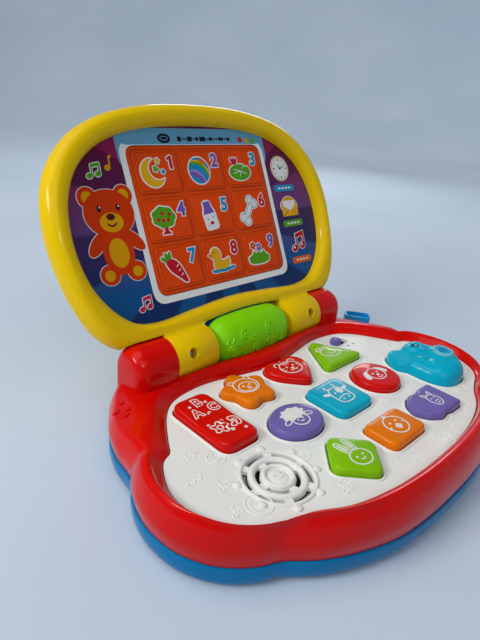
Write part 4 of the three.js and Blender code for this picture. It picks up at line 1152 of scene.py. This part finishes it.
def from_edge(distance):
    """The edge of the lid, drawn in towards the screen's."""
    return between(lid_edge, screen_edge, distance)


def tower_space(side):
    """Room in the lid for a hinge tower of the base."""
    clear = BARREL_RADIUS + 1.2
    rim = [(clear - 6.6 * (1 - math.cos(a)), 88 + 10.4 * math.sin(a)) for a in np.linspace(0, math.pi / 2, 8)]
    profile = [(0, BARREL_OUT), (clear, BARREL_OUT)] + rim + [(0, TOWER_OUT + 1.2)]
    return Shape().turned(both_ways(profile, side), "x", segments=72)


def roller_space():
    xs = np.linspace(-36.4, 36.4, 21)
    inner = [(roller_radius(x) + 0.9, x) for x in xs]
    end = inner[0][0]
    profile = [(0, -BARREL_IN), (end, -BARREL_IN)] + inner + [(end, BARREL_IN), (0, BARREL_IN)]
    return Shape().turned(profile, "x", segments=96)


def barrel(side):
    """Knuckle with softly rounded ends, blended into the frame above it."""
    r, k = BARREL_RADIUS, 0.7
    profile = [(0, BARREL_IN), (r - k, BARREL_IN), (r - 0.2, BARREL_IN + 0.25), (r, BARREL_IN + k),
               (r, BARREL_OUT - k), (r - 0.2, BARREL_OUT - 0.25), (r - k, BARREL_OUT), (0, BARREL_OUT)]
    return Shape().turned(both_ways(profile, side), "x", segments=72)


def fillet(side):
    """Small hollow curve between the frame's face and a barrel."""
    r, big = 4.0, BARREL_RADIUS
    cf = CREST + r
    cv = math.sqrt((big + r) ** 2 - cf ** 2)
    angles = np.linspace(-math.pi / 2, math.atan2(-cf, -cv), 9)
    curve = [(cv + r * math.cos(a), cf + r * math.sin(a)) for a in angles]
    section = [(cv + 0.6, CREST - 1.4), (cv + 0.6, CREST - 0.02)] + curve + [(10.0, 7.0), (10.0, 3.0)]
    xs = np.array([BARREL_IN + 0.6, BARREL_OUT - 0.6]) * side
    rings = [np.array([(x, v, f) for v, f in section]) for x in sorted(xs)]
    return Shape().loft(rings)


def bezel():
    """Yellow frame of the lid with its two hinge barrels."""
    frame_rings = smooth_stack([
        (from_screen(0), SCREEN_FACE + 0.3), (from_screen(0.25), -1.6), (from_screen(0.9), 0.9),
        (from_screen(2.3), 3.1), (from_screen(4.6), 4.6), (from_screen(7.4), CREST), (from_edge(5.6), 4.75),
        (from_edge(2.9), 3.2), (from_edge(1.0), 0.6), (from_edge(0.2), -2.2),
        (from_edge(0), LID_PARTING + 0.3), (from_edge(0.35), LID_PARTING),
    ])
    for r in frame_rings:
        r[:, 2] = np.minimum(r[:, 2], CREST)
    inside = [ring_at(o, f) for o, f in (
        (from_edge(2.2), LID_PARTING), (from_edge(2.6), -0.4), (from_edge(6.0), CREST - 2.4),
        (from_screen(5.6), CREST - 2.4), (from_screen(3.0), 0.4), (from_screen(2.2), SCREEN_FACE + 0.3))]
    obj = Shape().loft(frame_rings + inside, loop=True).make(
        "lid_frame", M["yellow"], "lid", "yellow_plastic", lid=True)
    core = Shape().turned(rod(BARREL_RADIUS - 1.2, -BARREL_OUT, BARREL_OUT), "x", segments=72)
    combine(obj, [tower_space(-1), tower_space(1), core])
    combine(obj, [barrel(-1), barrel(1), fillet(-1), fillet(1)], "UNION")
    cuts = [roller_space()]
    for side in (-1, 1):
        cuts.append(Shape().prism(circle(3.2, 36, (side * BARREL_SCREW_X, 0)), 9.6, 20))
    combine(obj, cuts, sharp=32)
    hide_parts("lid_bezel")
    rings = Shape()

    def on_barrel(x, y, h):
        return x, y * (BARREL_RADIUS + h) / BARREL_RADIUS, math.sqrt((BARREL_RADIUS + h) ** 2 - y * y)

    for side in (-1, 1):
        rings.strip(circle(3.75, 48, (side * BARREL_SCREW_X, 0)), bead(1.0, 0.35, 0.3), on_barrel, True)
    rings.make("screw_rims", M["yellow"], "lid", "yellow_plastic", lid=True)


def lid_back():
    """Back of the lid, a hollow tray with four screw posts."""
    top = LID_PARTING - 0.35
    outside = smooth_stack([
        (from_edge(22), LID_BACK), (from_edge(15), LID_BACK + 0.15), (from_edge(8.2), LID_BACK + 1.1),
        (from_edge(3.6), -10.9), (from_edge(1.1), -8.0), (from_edge(0.15), top - 0.6), (from_edge(0.35), top),
    ])
    obj = Shape().loft(outside).make("lid_shell", M["yellow"], "lid", "yellow_plastic", lid=True)
    hollow = Shape().loft([ring_at(from_edge(d), f) for d, f in (
        (12, LID_BACK + 2.2), (5.6, -9.8), (2.7, top), (2.7, top + 1))])
    clear = Shape().turned(rod(15.2, -69.6, 69.6), "x", segments=72)
    cuts = [hollow, clear, tower_space(-1), tower_space(1), roller_space()]
    spots = [lid_spot(f"lid_screw_{i}") for i in range(1, 5)]
    cuts += [Shape().prism(circle(3.1, 32, spot), LID_BACK - 1, LID_BACK + 5) for spot in spots]
    combine(obj, cuts, sharp=32)
    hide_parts("lid_back")
    posts = Shape()
    section = [(3.1, -12.2), (4.0, -12.2), (4.3, -11.4), (4.3, LID_BACK + 5.4), (3.1, LID_BACK + 5.4)]
    for spot in spots:
        posts.loft([ring_at(circle(r, 32, spot), f) for r, f in section], loop=True)
    posts.make("screw_posts", M["yellow"], "lid", "yellow_plastic", lid=True)


def lid_spot(node):
    """Where a CAD piece of the lid lies in the lid's own plane, in millimetres."""
    mesh = frame["nodes"][node].data
    p = np.mean([LID_PLACE.inverted() @ v.co for v in mesh.vertices], axis=0) / MM
    return p[0], p[1]


def drum_radius(x):
    """The roller's radius with its ends drawn in."""
    t = min(1.0, max(0.0, (abs(x) - 22) / 13))
    return roller_radius(x) - 7.2 * (1 - math.sqrt(1 - t * t))


def roller():
    """Drum in two halves, its seam turned a little, with a bore for the axle and a fine relief."""
    seam = 0.26

    def half(side):
        rings = []
        bend = 35 - 13 * (1 - np.cos(np.linspace(0, math.pi / 2, 16)))
        stations = list(-bend) + list(np.linspace(-21, 21, 22)) + list(bend[::-1])
        for x in stations:
            r = drum_radius(x)
            a = np.linspace(side * seam + 0.012, math.pi - 0.012, 41)
            y, f = r * np.cos(a), side * r * np.sin(a)
            y, f = np.append(y, [-3.0, 3.0]), np.append(f, [side * 0.2, side * 0.2])
            rings.append(np.column_stack([np.full(len(y), float(x)), y, f]))
        return Shape().loft(rings)

    def wrap(side):
        def place(x, s, h):
            r = drum_radius(x) + h
            a = s / 16.5  # s is a length around the drum, whose radius is about that
            return (x, -r * math.sin(a), side * r * math.cos(a))
        return place

    # the front half wears the brighter copy of the green plastic: painted light
    halves = (("front", 1, "green", "drum"), ("back", -1, "blue", "blue"))
    for which, side, colour, look in halves:
        obj = half(side).make("drum_" + which, M[look], "roller", colour + "_plastic", lid=True, sharp=40)
        combine(obj, [Shape().turned(rod(2.85, -40, 40), "x", segments=32)], sharp=40)
        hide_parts("roller_" + which)
    line = bead(1.1, 0.5, 0.3)
    for which, side, colour, look in halves:
        relief = Shape()
        for x, s, r in ((-24, 8, 3.0), (-3, 11, 3.6), (20, 7, 3.2), (9, 0, 2.6), (-14, 0, 2.6)):
            relief.strip(spiral(0.5, r, 1.7, (x, s), x, 34), line, wrap(side))
            relief.strip(circle(r + 1.5, 40, (x, s)), line, wrap(side), True)
        for x, s in ((-13, 14), (8, 8), (27, 13), (-27, 1), (17, 17)):
            t = np.linspace(-4.5, 4.5, 26)
            relief.strip(np.stack([x + t, s + 1.5 * np.sin(t * 1.5)], 1), line, wrap(side))
        for x, s, r in ((-7, 3, 2.4), (12, 14, 2.2), (-30, 14, 2.0), (3, 17, 2.0), (26, 1, 2.0)):
            relief.strip(star(0.76 * r, 0.24 * r, 40, 0.6, (x, s)), line, wrap(side), True)
        relief.make("drum_relief_" + which, M[look], "roller", colour + "_plastic", lid=True, sharp=60)


# ---------------------------------------------------------------- lid: screen and prints

WINDOW_V, PITCH, ROWS = 85.4, 38.4, 31.0
CELL = (34.5, 27.6)
CELL_TOP = SCREEN_FACE + 0.6
PANE_POINTS = 90  # the rings of a window need equal numbers of points


def screen():
    """Printed card and the orange grid of nine windows, each a raised pane with fine ribs."""
    opening = oblong(118.7, 95.7, 7.6, 8, (0, WINDOW_V))
    obj = Shape().prism(from_screen(1.6), SCREEN_FACE - 1.5, SCREEN_FACE).make(
        "screen_card", M["card"], "lid", "printed_card", lid=True)
    combine(obj, [Shape().prism(opening, SCREEN_FACE - 3, SCREEN_FACE + 1)])
    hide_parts("screen_panel")
    grid = Shape()
    outline = oblong(118, 95, 7.5, 8, (0, WINDOW_V))
    grid.loft([ring_at(grown(outline, -inward), SCREEN_FACE + f)
               for inward, f in ((0, -2.2), (0, -0.2), (0.25, 0))])
    ribs, shade = Shape(), Shape()
    for col in (-1, 0, 1):
        for row in (-1, 0, 1):
            at = np.array([col * PITCH, WINDOW_V + row * ROWS])

            def pane(wider, radius):
                return evenly(oblong(CELL[0] + 2 * wider, CELL[1] + 2 * wider, radius, 5, at), 1.2)

            grid.loft([ring_at(pane(-inward, 3.0)[:PANE_POINTS], SCREEN_FACE + f)
                       for inward, f in ((0.0, -0.4), (0.0, 0.15), (0.25, 0.45), (0.7, 0.6))])
            # dark lines round each pane's foot and just inside its top edge: painted shade of the grooves
            # between the windows
            for wider, wide, high in ((0.25, 1.1, 0.03), (-1.5, 0.5, 0.62)):
                shade.strip(pane(wider, 3.0 + wider), stripe(wide, high), level(SCREEN_FACE), True)
            for x in np.arange(-15.0, 15.1, 1.25):
                reach = CELL[1] / 2 - 1.8
                path = np.array([(at[0] + x, at[1] + t) for t in np.linspace(-reach, reach, 3)])
                ribs.strip(path, [(-0.42, -0.1), (-0.14, 0.26), (0.14, 0.26), (0.42, -0.1)], level(CELL_TOP))
    grid.make("windows", M["window"], "lid", "window_plastic", ["window_grid"], lid=True, sharp=30)
    ribs.make("window_ribs", M["window"], "lid", "window_plastic", lid=True, sharp=30)
    shade.make("window_shade", M["shade"], "lid", "window_plastic", lid=True, sharp=30)


LOW, BORDER, FILL, DETAIL, TOP = -0.3, 0.30, 0.37, 0.42, 0.47  # heights of the layers of a print


def art(shape, at, base):
    """A put() that prints shapes about a point on a plane, with a white border where one is wanted."""
    place = level(base)
    at = np.array(at, float)

    def put(outline, ink, height=FILL, border=None):
        outline = np.asarray(outline, float)
        if border:
            rim = grown(evenly(outline, 0.7), border) + at
            shape.patch(rim, LOW, min(BORDER, height - 0.01), place, INK["white"])
        shape.patch(outline + at, LOW, height, place, INK[ink])
    return put


def moon(put):
    crescent = arc(9.2, 79.1, 338.4, steps=40), arc(7.2, 306, 111.5, (4.0, 2.2), 28)
    put(np.vstack(crescent), "yellow", border=0.8)
    for x, y, r, ink in ((5.2, 7.6, 2.0, "yellow"), (2.6, 2.4, 2.3, "green"), (8.0, 0.4, 1.8, "blue")):
        put(star(0.85 * r, 0.25 * r, 50, 0.5, (x, y)), ink, DETAIL, 0.6)


def ball(put):
    radius, turn = 9.0, spin(-32)

    def sagging(v, w):
        return v - 0.05 * w * w

    def line(v):
        half = next(w for w in np.linspace(radius, 0, 200) if w * w + sagging(v, w) ** 2 < radius * radius)
        return [(w, sagging(v, w)) for w in np.linspace(-half, half, 17)]

    put(circle(radius, 48), "blue", border=0.9)
    for low, high, ink in ((-5.6, -2.6, "purple"), (-2.6, -1.0, "lilac"), (3.2, 5.2, "green"),
                           (5.2, 6.7, "yellow")):
        put(np.array(line(low) + line(high)[::-1]) @ turn, ink, DETAIL)
    put(ellipse(2.8, 1.7, 24, (0, 7.3)) @ turn, "orange", TOP)


def lily(put):
    for x in (-6.4, -4.4, -2.2):
        put(ellipse(1.1, 2.3, 20, (x, 6.0), (x + 4.4) * -14), "pink", FILL, 0.7)
    put(ellipse(2.6, 1.2, 20, (-4.4, 4.2)), "red", DETAIL)
    pad = [(10.4 * math.cos(a), -2.6 + 5.8 * math.sin(a)) for a in np.radians(np.linspace(62, 408, 50))]
    put([(0.8, -1.4)] + pad, "green", DETAIL, 0.9)
    for a in (150, 200, 262, 330):
        out, wide = spin(a)
        tip, root = out * (7.0, 3.8) + (0, -2.2), np.array([0.6, -1.8])
        put([tip - wide * 0.28, tip + wide * 0.28, root + wide * 0.28, root - wide * 0.28], "white", TOP)


def tree(put):
    put([(-1.4, -3), (-1.5, -6.4), (-4.0, -8.6), (4.0, -8.6), (1.5, -6.4), (1.4, -3)], "red", FILL, 0.8)
    crown = polar(lambda a: 9.0 + 0.5 * math.cos(7 * a), 70, 0.76, (0, 2.4))
    put(evenly(crown, 0.7), "green", DETAIL, 0.9)
    for x, y in ((-4.4, 1.0), (-1.0, 4.8), (3.0, 0.4), (4.6, 4.0), (-0.8, 0.2)):
        put(circle(1.3, 18, (x, y)), "red", TOP)


def bottle(put):
    turn = spin(7)
    body = two_sided([(5.2, -9.4), (5.2, 2.2), (3.2, 6.0), (3.2, 9.8)])
    put(evenly(rounded(body, 1.8, 5), 0.6) @ turn, "white", FILL, 0.9)
    cap = two_sided([(5.0, 1.2), (3.1, 6.0), (3.1, 9.6)])
    put(rounded(cap, 0.6, 3) @ turn, "purple", DETAIL)
    spots = ((0.2, -5.4, 1.7, "red"), (-2.6, -2.4, 0.8, "sky"), (2.4, -1.8, 0.8, "lilac"),
             (-3.0, -6.8, 0.7, "lilac"))
    for x, y, r, ink in spots:
        put(ellipse(r, 0.7 * r, 20, (x, y)) @ turn, ink, DETAIL)


def bone(put):
    turn = spin(52)
    for extra, ink, height in ((1.5, "white", BORDER), (0.55, "sky", FILL), (0.0, "white", DETAIL)):
        put(oblong(14 + extra, 3.0 + 2 * extra, 0.9) @ turn, ink, height)
        for knob in ((-7.6, -2.2), (-7.6, 2.2), (7.6, -2.2), (7.6, 2.2)):
            put(circle(2.6 + extra, 26, knob) @ turn, ink, height)


def carrot(put):
    for x, y, t in ((-7.4, 6.6, 60), (-5.2, 8.2, 25), (-3.0, 8.4, -10)):
        put(ellipse(1.3, 3.0, 22, (x, y), t), "green", FILL, 0.7)
    root = [(-4.6, -0.6), (0.6, -5.6), (6.6, -10.0), (7.6, -9.4), (5.6, -2.0), (2.2, 4.0), (-2.4, 6.4),
            (-6.6, 4.6)]
    put(catmull(root, 6, True), "red", DETAIL, 0.9)
    for x, y in ((1.6, 1.6), (2.6, -1.4), (4.0, -4.4)):
        put(ellipse(1.3, 0.32, 16, (x, y), 40), "white", TOP)


def duck(put):
    body = [(-5.0, -6.4), (3.4, -6.8), (8.4, -4.0), (8.6, 0.6), (5.0, -0.6), (-0.6, -0.2), (-3.4, 0.6),
            (-6.2, -2.6)]
    put(catmull(body, 6, True), "yellow", FILL, 0.9)
    put(circle(4.5, 36, (-3.0, 4.0)), "yellow", DETAIL, 0.9)
    put(catmull([(-4.0, -1.6), (-0.6, -2.8), (1.4, 0.2), (-2.0, 0.8)], 5, True), "yellow", TOP)
    put(rounded([(-6.6, 4.9), (-10.6, 3.9), (-7.0, 2.0)], 0.5, 3), "orange", TOP, 0.6)
    put(circle(0.6, 14, (-4.4, 5.2)), "brown", TOP)
    for x in (-6.0, -0.6, 4.8, 10.0):
        put(ellipse(3.2, 1.1, 24, (x, -7.6 + (x > 8) * 0.8), 8 if x > 2 else -8), "blue", TOP, 0.6)


def grass(put):
    tuft = [(-9.6, -7.4), (9.4, -7.4), (10.4, -3.6), (7.4, -1.6), (6.0, 0.8), (3.4, -0.8), (1.0, 1.2),
            (-1.6, -0.6), (-4.4, 1.0), (-6.6, -1.8), (-10.2, -3.2)]
    put(catmull(tuft, 5, True), "green", FILL, 0.9)
    for x, y, ink in ((-4.2, 5.0, "red"), (1.6, 3.6, "purple")):
        put(star(2.5, 0.6, 50, 0.5, (x, y)), ink, DETAIL, 0.7)
        put(circle(0.9, 16, (x, y)), "yellow", TOP)
        put([(x - 0.25, y - 5), (x + 0.25, y - 5), (x + 0.25, y - 2.6), (x - 0.25, y - 2.6)], "white", TOP)


CELLS = [
    (moon, "1", "red"), (ball, "2", "purple"), (lily, "3", "blue"),
    (tree, "4", "purple"), (bottle, "5", "blue"), (bone, "6", "red"),
    (carrot, "7", "blue"), (duck, "8", "red"), (grass, "9", "purple"),
]


def window_prints():
    shape, place = Shape(), level(CELL_TOP)
    for i, (draw, digit, ink) in enumerate(CELLS):
        at = np.array([(i % 3 - 1) * PITCH, WINDOW_V + (1 - i // 3) * ROWS])
        draw(art(shape, at + (-4.4, -0.8), CELL_TOP))
        spot = at + (10.8, 5.4)
        if digit == "1":
            one = np.array([(-0.9, -4.2), (1.3, -4.2), (1.6, 4.4), (0.1, 4.4), (-2.6, 2.8), (-2.0, 1.4),
                            (-0.7, 2.0)])
            shape.patch(grown(evenly(one, 0.5), 0.75) + spot, LOW, BORDER, place, INK["white"])
            shape.patch(one + spot, LOW, TOP, place, INK[ink])
            continue
        stamp(shape, digit, 12.6, spot, place, LOW, BORDER, INK["white"], 1.1, 0.06)
        stamp(shape, digit, 12.6, spot, place, LOW, TOP, INK[ink], 0.42, 0.06)
    shape.make("window_prints", PRINTS, "lid", "printed_card", lid=True, sharp=30)


def pair_of_notes(put, s, ink, shine=False):
    for x, y in ((-0.34, -0.42), (0.42, -0.3)):
        put(ellipse(0.27 * s, 0.21 * s, 24, (x * s, y * s), 20), ink, FILL, 0.5)
    stems = [(-0.16, -0.4), (-0.04, -0.4), (-0.02, 0.22), (0.54, 0.32), (0.54, -0.28), (0.66, -0.28),
             (0.7, 0.62), (-0.12, 0.48)]
    put(np.array(stems) * s, ink, FILL, 0.5)
    if shine:
        for x, y in ((-0.4, -0.36), (0.36, -0.24)):
            put(circle(0.08 * s, 14, (x * s, y * s)), "white", TOP)


def single_note(put):
    put(ellipse(2.2, 1.8, 22, (-0.6, -3.0), 20), "gold", FILL)
    put([(0.7, -3.0), (1.5, -3.0), (1.9, 2.0), (3.4, 3.6), (2.6, 4.8), (0.9, 3.4)], "gold", FILL)


def screen_prints():
    """The prints around the windows: header, notes, toy and the three pictures at the right."""
    shape = Shape()
    base = SCREEN_FACE
    put = art(shape, (0, 0), base)
    put(oblong(131.0, 26.0, 8.0, 8) + (0.4, 131.5), "sky", 0.06)
    put(oblong(127.0, 103.0, 9.0, 8) + (-0.2, WINDOW_V - 0.9), "cream", 0.12)
    put(oblong(122.0, 7.6, 3.6, 6) + (0, 137.6), "sky", 0.14)
    for x, ink in ((41.6, "red"), (48.0, "gold"), (54.2, "green")):
        put(circle(2.1, 24, (x, 137.0 - (x - 41) * 0.08)), ink, 0.2)
    for rx, ry, steps, ink, high in ((5.2, 3.2, 36, "black", 0.2), (3.4, 1.5, 30, "sky", 0.24),
                                     (2.8, 1.0, 30, "black", 0.28)):
        put(ellipse(rx, ry, steps, (-27.5, 137.8)), ink, high)
    x = -16.5
    for i, w in enumerate((3.2, 1.4, 1.4, 4.2, 1.4, 3.0, 5.4, 1.4, 3.8, 1.4, 1.4, 5.0, 1.4, 3.2)):
        tall = 3.2 if i % 3 == 0 else 2.3
        mark = oblong(w, tall, 0.6, 3) if w > 2 else circle(0.75, 14)
        put(mark + (x + w / 2, 137.4), "black", 0.2)
        x += w + 0.8
    for x, v, draw, *extra in (
            (-84.5, 119.0, pair_of_notes, 7.6, "green"), (-71.5, 36.2, pair_of_notes, 7.6, "pink"),
            (-73.5, 123.2, single_note), (78.7, 114.2, clock), (80.4, 83.4, letter_icon),
            (81.0, 55.8, pair_of_notes, 12.6, "red", True)):
        draw(art(shape, (x, v), base), *extra)
    for x, v, ink in ((79.2, 98.8, "blue"), (81.0, 70.6, "green"), (82.4, 41.0, "orange")):
        put(oblong(22.6, 5.0, 1.6, 5) + (x, v), ink, 0.2)
        for step in (-6.4, -2.4, 1.4, 5.4):
            put(oblong(2.6, 1.5, 0.7, 4) + (x + step + 0.6, v), "white", 0.26)
    teddy(art(shape, (-80.4, 79.4), base))
    obj = shape.make("screen_prints", PRINTS, "lid", "printed_card", lid=True, sharp=30)
    hole = oblong(118.9, 95.9, 7.6, 8, (0, WINDOW_V))
    combine(obj, [Shape().prism(hole, base - 1, base + 2)], sharp=30)


def clock(put):
    put(circle(9.6, 48), "gold", FILL, 0.4)
    put(circle(8.9, 48), "white", DETAIL)
    marks = [(i * 30, *((5.9, 8.0, 0.42, 0.42) if i % 3 == 0 else (6.7, 8.0, 0.26, 0.26))) for i in range(12)]
    for a, start, end, w0, w1 in marks + [(125, 0.0, 4.0, 0.5, 0.3), (20, 0.0, 5.6, 0.4, 0.24)]:
        out, wide = spin(a)
        ends = ((start, -w0), (end, -w1), (end, w1), (start, w0))
        put([out * r + wide * w for r, w in ends], "black", TOP)
    put(circle(0.9, 18), "black", TOP)


def letter_icon(put):
    flap = [(-9.0, -1.0), (9.0, -1.0), (9.2, 3.0), (0, 8.6), (-9.2, 3.0)]
    put(catmull(flap, 5, True), "gold", FILL, 0.5)
    put(rounded([(-6.6, -4.0), (6.6, -4.0), (7.0, 5.2), (-7.0, 5.2)], 0.8, 3), "white", DETAIL)
    put(rounded([(-9.0, -7.0), (9.0, -7.0), (9.0, 2.4), (0, -3.0), (-9.0, 2.4)], 0.9, 3), "yellow", TOP)
    for s in (-1, 1):
        line = [(s * 8.4, -6.4), (s * 1.6, -1.8), (s * 1.2, -2.3), (s * 8.0, -6.8)]
        put(line if s > 0 else line[::-1], "rust", TOP + 0.04)


def teddy(put):
    """A plain stuffed toy, seated and seen from the front; each row is drawn over the rows before it."""
    scale, rows = 1.09, []
    for s in (-1, 1):
        ear = (s * 11.0, 22.0)
        rows += [(circle(5.8, 40, ear), "rust", 0.6), (circle(3.4, 30, ear), "gold", 0),
                 (ellipse(3.7, 8.0, 40, (s * 11.4, -3.4), s * 44), "rust", 0.6)]
    for s in (-1, 1):
        rows += [(ellipse(6.0, 5.6, 40, (s * 8.4, -20.4)), "rust", 0.6),
                 (ellipse(3.2, 3.0, 30, (s * 8.8, -20.8)), "gold", 0)]
    rows += [(ellipse(9.6, 13.0, 50, (0, -8.6)), "rust", 0), (ellipse(6.0, 8.2, 44, (0, -9.4)), "gold", 0),
             (ellipse(15.4, 13.2, 60, (0, 12.6)), "rust", 0.6), (ellipse(7.2, 5.4, 40, (0, 7.6)), "gold", 0),
             (ellipse(2.7, 1.9, 24, (0, 10.6)), "brown", 0)]
    for s in (-1, 1):
        rows += [(ellipse(1.3, 1.8, 20, (s * 5.8, 15.4)), "black", 0),
                 (circle(0.5, 12, (s * 5.8 + 0.5, 16.1)), "white", 0)]
    rows.append((np.vstack([arc(3.2, 200, 340, (0, 8.2), 14), arc(2.6, 335, 205, (0, 8.6), 14)]), "brown", 0))
    for i, (outline, ink, border) in enumerate(rows):
        put(np.asarray(outline) * scale, ink, BORDER + 0.02 + 0.018 * i, border * 0.7)


# ---------------------------------------------------------------- screws, feet and battery door

def screw(name, node, at, back, length, body):
    """Oval-head screw with a cross recess, in place of a CAD node; its head faces along `back`."""
    radius = 2.5
    profile = [(0, 0.0), (radius * 0.45, 0.05), (radius * 0.8, 0.3), (radius, 0.75), (radius, 1.2),
               (radius * 0.6, 1.5), (1.25, 1.7)]
    for i in range(int((length - 3) / 1.2)):
        h = 2.0 + i * 1.2
        profile += [(1.0, h), (1.3, h + 0.6)]
    profile += [(0.9, length - 1.0), (0, length)]
    obj = Shape().turned(profile, "z", segments=32).make(name, M["steel"], sharp=35)
    arm = radius * 0.62
    cross = [box_shape((-arm, -0.32, -1), (arm, 0.32, 0.7)), box_shape((-0.32, -arm, -1), (0.32, arm, 0.7))]
    combine(obj, cross, sharp=35)
    turn = (-Vector(back).normalized()).to_track_quat("Z", "Y").to_matrix().to_4x4()
    obj.matrix_world = Matrix.Translation(Vector(at) * MM) @ turn
    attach(obj, body)
    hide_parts(node)


def fasteners():
    down = (0, 0, -1)
    for i in range(1, 7):
        node = f"case_screw_{i}"
        screw(f"screw_case_{i}", node, (*middle(node)[:2], box_mm(node)[0][2]), down, 16.5, "base")
    node = "battery_door_screw"
    screw("screw_door", node, (*middle(node)[:2], 1.2), down, 8.0, "base")
    turn = LID_PLACE.to_3x3()
    for i in range(1, 5):
        node = f"lid_screw_{i}"
        at = LID_PLACE @ (Vector((*lid_spot(node), LID_BACK + 3.4)) * MM) / MM
        screw(f"screw_lid_{i}", node, at, turn @ Vector(down), 11.5, "lid")
    for side, end in ((-1, "left"), (1, "right")):
        at = LID_PLACE @ (Vector((side * BARREL_SCREW_X, 0, 11.6)) * MM) / MM
        screw("screw_barrel_" + end, "barrel_screw_" + end, at, turn @ Vector((0, 0, 1)), 12.5, "lid")


def underside():
    """Feet and battery door."""
    for i in range(1, 5):
        x, y, _ = middle(f"foot_{i}")
        profile = [(0, 0.35), (4.4, 0.35), (4.8, 0.05), (5.2, 0.0), (6.3, 0.0), (6.8, 0.2), (7.0, 0.6),
                   (7.0, 1.6), (0, 1.6)]
        Shape().turned(profile, "z", (x, y, 0), 48).make(
            f"pad_{i}", M["rubber"], "base", "foot_rubber", [f"foot_{i}"], sharp=45)
    low, high = box_mm("battery_door")
    mid = (low + high)[:2] / 2
    size = (high - low)[:2]
    levels = ((0.5, low[2]), (0.12, low[2] + 0.15), (0.0, low[2] + 0.45), (0.0, 2.1))
    door = Shape().loft([ring_at(oblong(*(size - 2 * i), 3.0 - i, 6, mid), z) for i, z in levels])
    obj = door.make("door_plate", M["blue"], "base", "blue_plastic", ["battery_door"], sharp=40)
    x, y, _ = middle("battery_door_screw")
    combine(obj, [Shape().turned(rod(4.0, low[2] + 0.2, 3.3), "z", (x, y, 0), 40)], "UNION")
    combine(obj, [Shape().turned(rod(3.1, -1, 2.7), "z", (x, y, 0), 40),
                  Shape().turned(rod(1.6, 0, 5), "z", (x, y, 0), 24)])
    grip = Shape()
    ridge = [(-0.4, -0.2), (-0.3, 0.1), (0.3, 0.1), (0.4, -0.2)]
    for k in range(5):
        path = arc(7.0 + 1.6 * k, 215, 325, (x, low[1] + 17.0), 20)
        grip.strip(path, ridge, lambda a, b, h: (a, b, low[2] - h))
    grip.make("door_grip", M["blue"], "base", "blue_plastic")


# ---------------------------------------------------------------- stage, light and camera

def backdrop():
    """Pale cloth floor that sweeps up into a wall far from the object, on every side."""
    profile = [(0, -4), (3210, -4), (3210, 2600), (3200, 2600)]
    for a in np.linspace(math.pi / 2, 0, 14):
        profile.append((1800 + 1400 * math.sin(a), 1400 * (1 - math.cos(a)) - 0.05))
    profile += [(r, -0.05) for r in (1200, 600, 200, 0)]
    floor = Shape().turned(profile, "z", segments=96).make("floor", [], sharp=60)
    m, net, bsdf, coords = shader("floor_cloth")
    weave = noise(net, coords, 900.0, 4.0)
    drift = spread(net, noise(net, coords, 2.2), 0.0, 1.0)
    net.links.new(tint(net, drift, (0.51, 0.60, 0.71), (0.58, 0.67, 0.77)), bsdf.inputs["Base Color"])
    fixed(bsdf, {"Roughness": 0.9})
    bump(net, bsdf, weave, 0.15, 0.0006)
    floor.data.materials.append(m)


def light(name, kind, place, aim, strength, colour=(1, 1, 1)):
    data = bpy.data.lights.new(name, kind)
    data.energy, data.color = strength, colour
    obj = new_object(name, data)
    obj.location = place
    obj.rotation_euler = (Vector(aim) - Vector(place)).to_track_quat("-Z", "Y").to_euler()
    return data


def lamp(name, place, aim, size, watts):
    data = light(name, "AREA", place, aim, watts)
    data.shape, data.size, data.size_y = "RECTANGLE", *size


def sunlight(name, place, strength, spread_deg, colour):
    """Even light from far off, softened by its wide angle."""
    light(name, "SUN", place, (0, 0, 0), strength, colour).angle = math.radians(spread_deg)


def studio():
    world = bpy.data.worlds.new("sky")
    world.use_nodes = True
    bpy.context.scene.world = world
    sky = world.node_tree.nodes["Background"]
    fixed(sky, {"Color": (0.72, 0.77, 0.84, 1), "Strength": 0.2})
    sunlight("daylight", (-0.4, 0.3, 1.2), 0.95, 50, (1.0, 0.99, 0.96))
    sunlight("daylight_front", (-0.6, -1.2, 0.9), 0.85, 60, (1.0, 0.99, 0.97))
    lamp("window_light", (-1.05, 0.2, 0.74), (-0.05, -0.03, 0.03), (0.5, 0.22), 7.0)
    lamp("front_light", (-0.7, -1.0, 0.9), (0, 0, 0.05), (0.24, 0.12), 1.5)
    lamp("back_light", (0.86, 0.8, 0.5), (-0.08, -0.05, 0.04), (0.7, 0.15), 2.3)


def camera():
    """Lens, place and axes as solved from the lines of the photo."""
    data = bpy.data.cameras.new("camera")
    data.lens, data.sensor_width, data.sensor_fit = 29.52, 36.0, "AUTO"
    obj = new_object("camera", data)
    right, up = (0.71245, -0.69538, 0.09411), (0.22652, 0.35483, 0.90707)
    back = (-0.66415, -0.62493, 0.41032)
    turn = Matrix((right, up, back)).transposed().to_4x4()
    obj.matrix_world = Matrix.Translation((-0.2461, -0.18378, 0.2035)) @ turn
    bpy.context.scene.camera = obj


bpy.context.scene.view_settings.view_transform = "Standard"
camera()
studio()
backdrop()
top_shell()
bottom_shell()
panel()
for name in KEY_SHAPES:
    key(name)
rocker()
mouse()
slider()
bezel()
lid_back()
roller()
screen()
window_prints()
screen_prints()
fasteners()
underside()

for piece in LID_PIECES:
    piece.data.transform(LID_PLACE)
    piece.matrix_world = Matrix.Identity(4)
